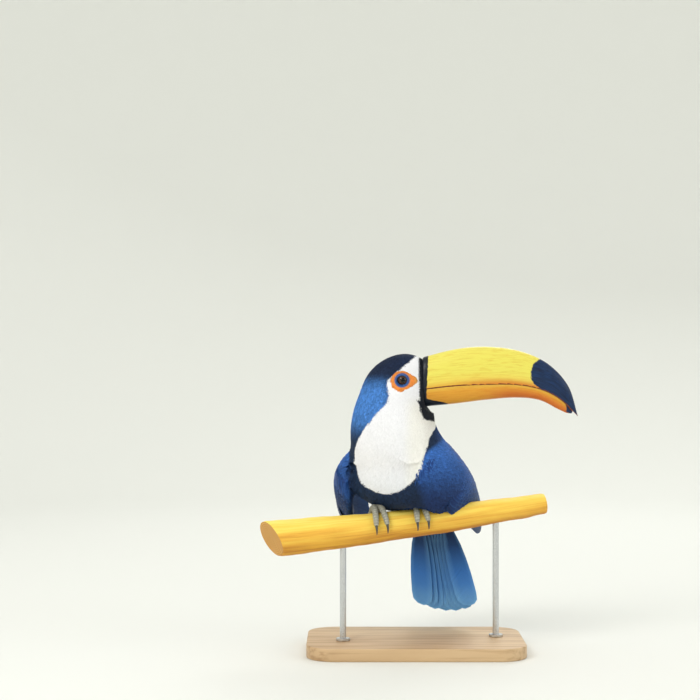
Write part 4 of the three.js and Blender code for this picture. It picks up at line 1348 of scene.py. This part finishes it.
# On the lower mandible's underside the black band widens to 30 mm, where it meets the chin patch: painted
# shadow, like that patch.
chin_shadow_mark = 3 + 27 * smooth(0.5, 1, height)
lower_bill = mandible("lower", colour, np.minimum(spot_depth(x, z), x - 214), 1.0 - rise,
                      BILL_BASE + np.maximum(band_width(z), chin_shadow_mark) - x)
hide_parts("bill_lower")
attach(lower_bill, "root")

# ---------------------------------------------------------------- eyes and lids
# Two balls of dark glass with a slight dome at the front. Round lids of bare blue skin lie on each ball,
# inside a wider oval of wrinkled orange skin whose edge tucks in under the feathers.
LID_OPEN_X, LID_OPEN_Z = 6.2, 5.7
PUPIL, IRIS = 3.0 / EYE_RADIUS, 6.6 / EYE_RADIUS
EYE_TURN = np.radians(12)
EYE_ROWS, EYE_AROUND, LID_AROUND = 49, 56, 120
# The lids' rings from their opening out to the bare patch's edge, and back under the skin at these depths.
# The patch is PATCH_SHARE times as large as the part that the feathers leave bare.
LID_SHARES = np.concatenate([np.linspace(0, 0.30, 16), np.linspace(0.33, 1, 30)])[:, None]
BACK_SHARES, BACK_DEPTHS = np.array([1.02, 0.9, 0.6, 0.3])[:, None], np.array([2.6, 4, 5.5, 7])[:, None]
PATCH_SHARE, RIM_TUCK = 1.14, 1.2
LID_BLUE = np.array([0.018, 0.085, 0.30])
ORBIT_ORANGE, ORBIT_PALE = np.array([0.78, 0.23, 0.018]), np.array([0.80, 0.42, 0.07])
PUPIL_BLACK = (0.002, 0.002, 0.002)


def face_depth(x, z, side, level):
    """How far out from the head's middle plane the surface at a distance level from the body lies."""
    return halved(np.zeros(np.shape(x)), np.full(np.shape(x), 60.0), 20,
                  lambda out: body_distance(out_of(HEAD, stack3(x, side * out, z))) >= level)


eye_material, tree, shader = new_material("eye_glass", Roughness=0.03, IOR=1.376)
ray = add_math(tree, "MULTIPLY", add_attribute(tree, "Ray"), 1 / EYE_RADIUS)
iris = add_ramp(tree, ray, (0.0, PUPIL_BLACK), (PUPIL - 0.02, PUPIL_BLACK),
                (PUPIL + 0.02, (0.045, 0.017, 0.007)), (0.62, (0.060, 0.024, 0.010)),
                (IRIS, (0.020, 0.010, 0.006)), (0.92, (0.008, 0.008, 0.009)))
feed(shader, "Base Color", add_product(tree, iris, add_mottle(tree, 1400, 0.75, 1.3)))

lid_material, tree, shader = new_material("bare_skin", Roughness=0.46, Coat_Weight=0.08)
lid_tint = add_product(tree, add_attribute(tree, "Colour", "Color"), add_mottle(tree, 520, 0.80, 1.12))
feed(shader, "Base Color", lid_tint)
set_bump(tree, shader, add_mottle(tree, 1500, 0, 1), 0.6, 0.0004)

polar = np.linspace(0, np.pi, EYE_ROWS)[:, None, None]
turn = circle(EYE_AROUND)[None, :, None]
dome = EYE_RADIUS * (1 + 0.05 * np.exp(-(polar / 0.5) ** 2))
ray = EYE_RADIUS * np.sin(np.minimum(polar, np.pi / 2))
# The lids' and the patch's edges, and the places of their rings, from the eye's middle.
angle = circle(LID_AROUND)[None, :]
open_x, open_z = LID_OPEN_X * np.cos(angle), LID_OPEN_Z * np.sin(angle)
edge_x, edge_z = orbit_size(np.cos(angle), np.sin(angle), smooth(0, 1, np.cos(angle)))
edge_x, edge_z = edge_x * PATCH_SHARE * np.cos(angle), edge_z * PATCH_SHARE * np.sin(angle)
dx, dz = mix(open_x, edge_x, LID_SHARES), mix(open_z, edge_z, LID_SHARES)
back_x, back_z = mix(open_x, edge_x, BACK_SHARES), mix(open_z, edge_z, BACK_SHARES)
radius = np.hypot(dx, dz)
past = radius - np.hypot(open_x, open_z)
# A fat fold round the opening with a furrow outside it, then wrinkles that run round the patch.
wrinkle = 0.22 * np.sin(past * 2.9 + 0.8 * np.sin(angle * 3)) + 0.13 * np.sin(past * 1.3 + angle * 9)
fold = 0.95 * np.exp(-((past - 1.3) / 1.0) ** 2) - 0.35 * np.exp(-((past - 3.4) / 0.9) ** 2)
shown = np.pad(past, ((1, 0), (0, 0)))
shown = np.pad(shown, ((0, len(BACK_SHARES)), (0, 0)), mode="edge")
lid_colour = mix(mix(ORBIT_ORANGE, ORBIT_PALE, smooth(8, 14, shown)[..., None]), LID_BLUE,
                 smooth(4.2, 2.6, shown)[..., None])
for side_name, side in (("left", 1), ("right", -1)):
    middle_y = face_depth(np.array(EYE_X), np.array(EYE_Z), side, 0.0) + EYE_PROUD - EYE_RADIUS
    middle = out_of(HEAD, (EYE_X, side * middle_y, EYE_Z))
    gaze = HEAD[1][1] * side * np.cos(EYE_TURN) + HEAD[1][0] * np.sin(EYE_TURN)
    upright = square_to(np.array([0, 0, 1.0]), gaze)
    beside = np.cross(upright, gaze)
    off = (beside * np.cos(turn) + upright * np.sin(turn)) * np.sin(polar)
    ball = middle + dome * (gaze * np.cos(polar) + off)
    eye = tube_piece(f"eyeball_{side_name}", ball, eye_material, values={"Ray": ray})
    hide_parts(f"eye_{side_name}")
    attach(eye, "root")
    # The lids and the bare skin are one closed leaf. Its outer face runs from the opening to the patch's
    # edge, its inner face comes back under the skin, and its last ring joins its first.
    ball_y = middle_y + np.sqrt(np.maximum((EYE_RADIUS + 0.1) ** 2 - radius ** 2, 4.0))
    skin_y = face_depth(EYE_X + dx, EYE_Z + dz, side, -0.5) - 1.3 * smooth(0.6, 1, LID_SHARES)
    lid_y = mix(ball_y[:1], skin_y, smooth(0.2, 2.6, past)) + fold * smooth(-0.2, 0.9, past)
    lid_y = lid_y + wrinkle * smooth(3, 5, past) * smooth(1, 0.75, LID_SHARES)
    back_y = face_depth(EYE_X + back_x, EYE_Z + back_z, side, -0.5) - BACK_DEPTHS
    leaf = np.concatenate([out_of(HEAD, stack3(EYE_X + x, side * y, EYE_Z + z)) for x, y, z in (
        (open_x, ball_y[:1] - RIM_TUCK, open_z), (dx, lid_y, dz), (back_x, back_y, back_z))])
    quads = ring_faces(*leaf.shape[:2], closed=True)[:, ::-side]
    lids = mesh_piece(f"lids_{side_name}", leaf, quads, lid_material,
                      values={"Colour": lid_colour.reshape(-1, 3)}, sharp=80)
    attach(lids, "root")

# ---------------------------------------------------------------- legs and claws
# Short scaled shanks that come out of the belly, and feet with two toes to the front and two to the back.
# The toes are scaled above and padded below, and each ends in a hooked claw of dark horn.
LEG_SPREAD, SHANK_RADIUS, SHANK_TOP = 26, 4.8, 26
TOE_LENGTH, TOE_RADIUS, CLAW_LENGTH, CLAW_RADIUS, TOE_SPREAD = 32, 4.1, 14, 2.5, 7
LEG_ROWS, LEG_AROUND, SHANK_SCALES, TOE_SCALES, TOE_PADS = 96, 28, 7, 12, 3
# Where toes and claws start and end along a toe, and how far out from the bark their middle lines lie on
# the way.
TOE_ARCS, TOE_LIFTS = (-0.16, 0.3, 0.65, 1.04), (2.6, 0.9, 0.1, -0.1)
CLAW_ARCS, CLAW_LIFTS = (0.93, 1.0, 1.15, 1.3, 1 + CLAW_LENGTH / TOE_LENGTH), (3.9, 4.4, 4.6, 3.1, 0.7)
LEG_GREY, LEG_PALE, LEG_CREASE = (0.20, 0.20, 0.17), (0.40, 0.39, 0.31), (0.075, 0.075, 0.068)
CLAW_GREY = (0.060, 0.055, 0.050, 1)


def path_tube(path, radius, upward, shape):
    """Rings round a path of points. upward points along each ring's top, and shape(angle) scales its
    radius."""
    along = unit(np.gradient(path, axis=0))
    up = square_to(upward, along)
    beside = np.cross(along, up)
    angle = circle(LEG_AROUND)[None, :]
    r = (radius[:, None] * shape(angle))[..., None]
    cos, sin = np.cos(angle)[..., None], np.sin(angle)[..., None]
    return path[:, None] + r * (cos * up[:, None] + sin * beside[:, None])


def toe_path(x, way, sidestep, arc, lift):
    """Points over a toe's line round the branch, and the branch's middle beside them. arc is the share of
    the toe's length from its root."""
    at = x + sidestep * (0.55 + 0.45 * np.minimum(1, arc))
    angle = arc * TOE_LENGTH / (branch_radius(x) + TOE_RADIUS)
    return on_branch(at, way * angle, lift), branch_middle(at)


leg_material, tree, shader = new_material("leg_scales", Roughness=0.5, Coat_Weight=0.1)
scale_tone = add_ramp(tree, add_attribute(tree, "Crease"), (0.0, LEG_CREASE), (0.35, LEG_GREY),
                      (1.0, LEG_PALE))
feed(shader, "Base Color", add_product(tree, scale_tone, add_mottle(tree, 420, 0.7, 1.15)))
set_bump(tree, shader, add_mottle(tree, 1300, 0, 1), 0.5, 0.0003)
claw_material, tree, shader = new_material("claw_horn", Roughness=0.32, Coat_Weight=0.3)
feed(shader, "Base Color", add_product(tree, CLAW_GREY, add_mottle(tree, 500, 0.6, 1.4, 0.3)))
set_bump(tree, shader, add_mottle(tree, 700, 0, 1, 0.3), 0.3, 0.0002)
t = np.linspace(0, 1, LEG_ROWS)
for side_name, side in (("left", 1), ("right", -1)):
    x = PERCH_X + side * LEG_SPREAD
    _, _, branch_up = branch_axes(x)
    ankle = branch_middle(x) + branch_up * (branch_radius(x) + SHANK_RADIUS + 1)
    knee = out_of(BIRD, (-10, side * (LEG_SPREAD - 3), SHANK_TOP))
    shin = curve([ankle - 3 * branch_up, mix(ankle, knee, 0.5), knee], t)
    plate = np.abs(np.sin(np.pi * t * SHANK_SCALES)) ** 0.5
    ends = np.sqrt(np.clip(1 - (2 * t - 1) ** 10, 0, 1))
    leg_rings = [path_tube(shin, SHANK_RADIUS * ends * (0.95 + 0.06 * plate), -BIRD[1][0], np.ones_like)]
    leg_creases, claw_rings = [plate], []
    plate = np.abs(np.sin(np.pi * (t * TOE_SCALES + 0.2))) ** 0.35
    pads = 1 + 0.035 * np.cos(2 * np.pi * t * TOE_PADS)
    ends = np.sqrt(np.clip(1 - np.abs(2 * t - 1) ** 9, 0, 1))
    toe_radius = TOE_RADIUS * (1.04 - 0.2 * t) * ends * pads * (0.975 + 0.035 * plate)
    claw_radius = CLAW_RADIUS * (1 - t) ** 0.7 * smooth(-0.08, 0.06, t) + 0.05
    for way, step in ((1, -1), (1, 1), (-1, -1), (-1, 1)):
        arc = mix(TOE_ARCS[0], TOE_ARCS[-1], t)
        lift = np.interp(arc, TOE_ARCS, TOE_LIFTS) + TOE_RADIUS
        line, hub = toe_path(x, way, step * TOE_SPREAD, arc, lift)
        leg_rings.append(path_tube(line, toe_radius, line - hub,
                                   lambda a: 1 - 0.08 * np.maximum(-np.cos(a), 0) + 0.02 * np.cos(2 * a)))
        leg_creases.append(plate)
        arc = mix(CLAW_ARCS[0], CLAW_ARCS[-1], t)
        line, hub = toe_path(x, way, step * TOE_SPREAD, arc, np.interp(arc, CLAW_ARCS, CLAW_LIFTS))
        claw_rings.append(path_tube(line, claw_radius, line - hub, lambda a: 1 - 0.18 * np.abs(np.sin(a))))
    leg = tube_piece(f"foot_{side_name}", np.stack(leg_rings), leg_material,
                     values={"Crease": np.stack(leg_creases)[..., None, None]}, sharp=70)
    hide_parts(f"leg_{side_name}")
    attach(leg, "root")
    claws = tube_piece(f"claws_{side_name}", np.stack(claw_rings), claw_material, sharp=80)
    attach(claws, "root")

# ---------------------------------------------------------------- stand
# A flat base of pale oiled wood with round corners, and two satin steel rods with low collars that stand in
# it and run up into the branch.
BASE_WIDTH, BASE_DEPTH, BASE_HEIGHT, BASE_CORNER, BASE_BEVEL = 276, 168, 16, 36, 1.6
CORNER_POINTS = 13
ROD_RADIUS, ROD_AROUND, ROD_AT = 4, 48, {"left": 104, "right": -92}
COLLAR_RADIUS, COLLAR_HEIGHT, ROD_BEVEL = 9, 3, 0.5


def base_outline(inset, z):
    """Points round the base's edge, moved in by inset, at a height."""
    angle = np.radians(np.concatenate([np.linspace(90 * k, 90 * k + 90, CORNER_POINTS) for k in range(4)]))
    middle_x = np.repeat([1, -1, -1, 1], CORNER_POINTS) * (BASE_WIDTH / 2 - BASE_CORNER)
    middle_y = np.repeat([1, 1, -1, -1], CORNER_POINTS) * (BASE_DEPTH / 2 - BASE_CORNER)
    r = BASE_CORNER - inset
    return stack3(middle_x + r * np.cos(angle), middle_y + r * np.sin(angle), z)


round_over = np.radians([0, 22, 45, 68, 90])
less_cos, less_sin = BASE_BEVEL * (1 - np.cos(round_over)), BASE_BEVEL * (1 - np.sin(round_over))
base_rings = np.stack([base_outline(inset, z) for inset, z in (
    *zip(less_sin, less_cos), *zip(less_cos, BASE_HEIGHT - less_sin))])
inner = stack3([0, 0.5], [0, 0.5], 1)[:, None]
base_rings = np.concatenate([base_rings[:1] * inner, base_rings, base_rings[-1:] * inner[::-1]])
base_material, tree, shader = new_material("base_wood", Roughness=0.45, Coat_Weight=0.1,
                                           Coat_Roughness=0.35)
pores, figure = add_mottle(tree, 160, 0, 1, 0.045), add_mottle(tree, 26, 0, 1, 0.12)
wood = add_ramp(tree, figure, (0.0, (0.50, 0.32, 0.165)), (0.5, (0.60, 0.41, 0.225)),
                (1.0, (0.66, 0.47, 0.27)))
shade = add_ramp(tree, pores, (0.0, (0.70, 0.62, 0.54)), (0.55, (1, 1, 1)))
feed(shader, "Base Color", add_product(tree, wood, shade))
feed(shader, "Roughness", add_mottle(tree, 160, 0.52, 0.40, 0.045))
set_bump(tree, shader, pores, 0.25, 0.0003)
base = tube_piece("base", base_rings, base_material, sharp=30)
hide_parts("stand_base")
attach(base, "root")

steel_material, tree, shader = new_material("satin_steel", Metallic=1.0, Roughness=0.3)
feed(shader, "Base Color", add_ramp(tree, add_mottle(tree, 900, 0, 1), (0.0, (0.50, 0.51, 0.52)),
                                    (1.0, (0.66, 0.67, 0.68))))
feed(shader, "Roughness", add_mottle(tree, 1500, 0.24, 0.38))
for rod_name, rod_x in ROD_AT.items():
    rod_middle = branch_middle(rod_x)
    foot, top = BASE_HEIGHT + 0.3, rod_middle[2] - 0.3
    shoulder = foot + COLLAR_HEIGHT
    profile = [(0, foot), (COLLAR_RADIUS - 0.4, foot), (COLLAR_RADIUS, foot + 0.4),
               (COLLAR_RADIUS, shoulder - ROD_BEVEL), (COLLAR_RADIUS - ROD_BEVEL, shoulder),
               (ROD_RADIUS + 0.6, shoulder), (ROD_RADIUS, shoulder + ROD_BEVEL),
               (ROD_RADIUS, top - ROD_BEVEL), (ROD_RADIUS - ROD_BEVEL, top), (0, top)]
    rod_rings = spun(profile, ROD_AROUND) + [rod_x, rod_middle[1], 0]
    rod = tube_piece(f"rod_{rod_name}", rod_rings, steel_material, sharp=35)
    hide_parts(f"stand_rod_{rod_name}")
    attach(rod, "root")
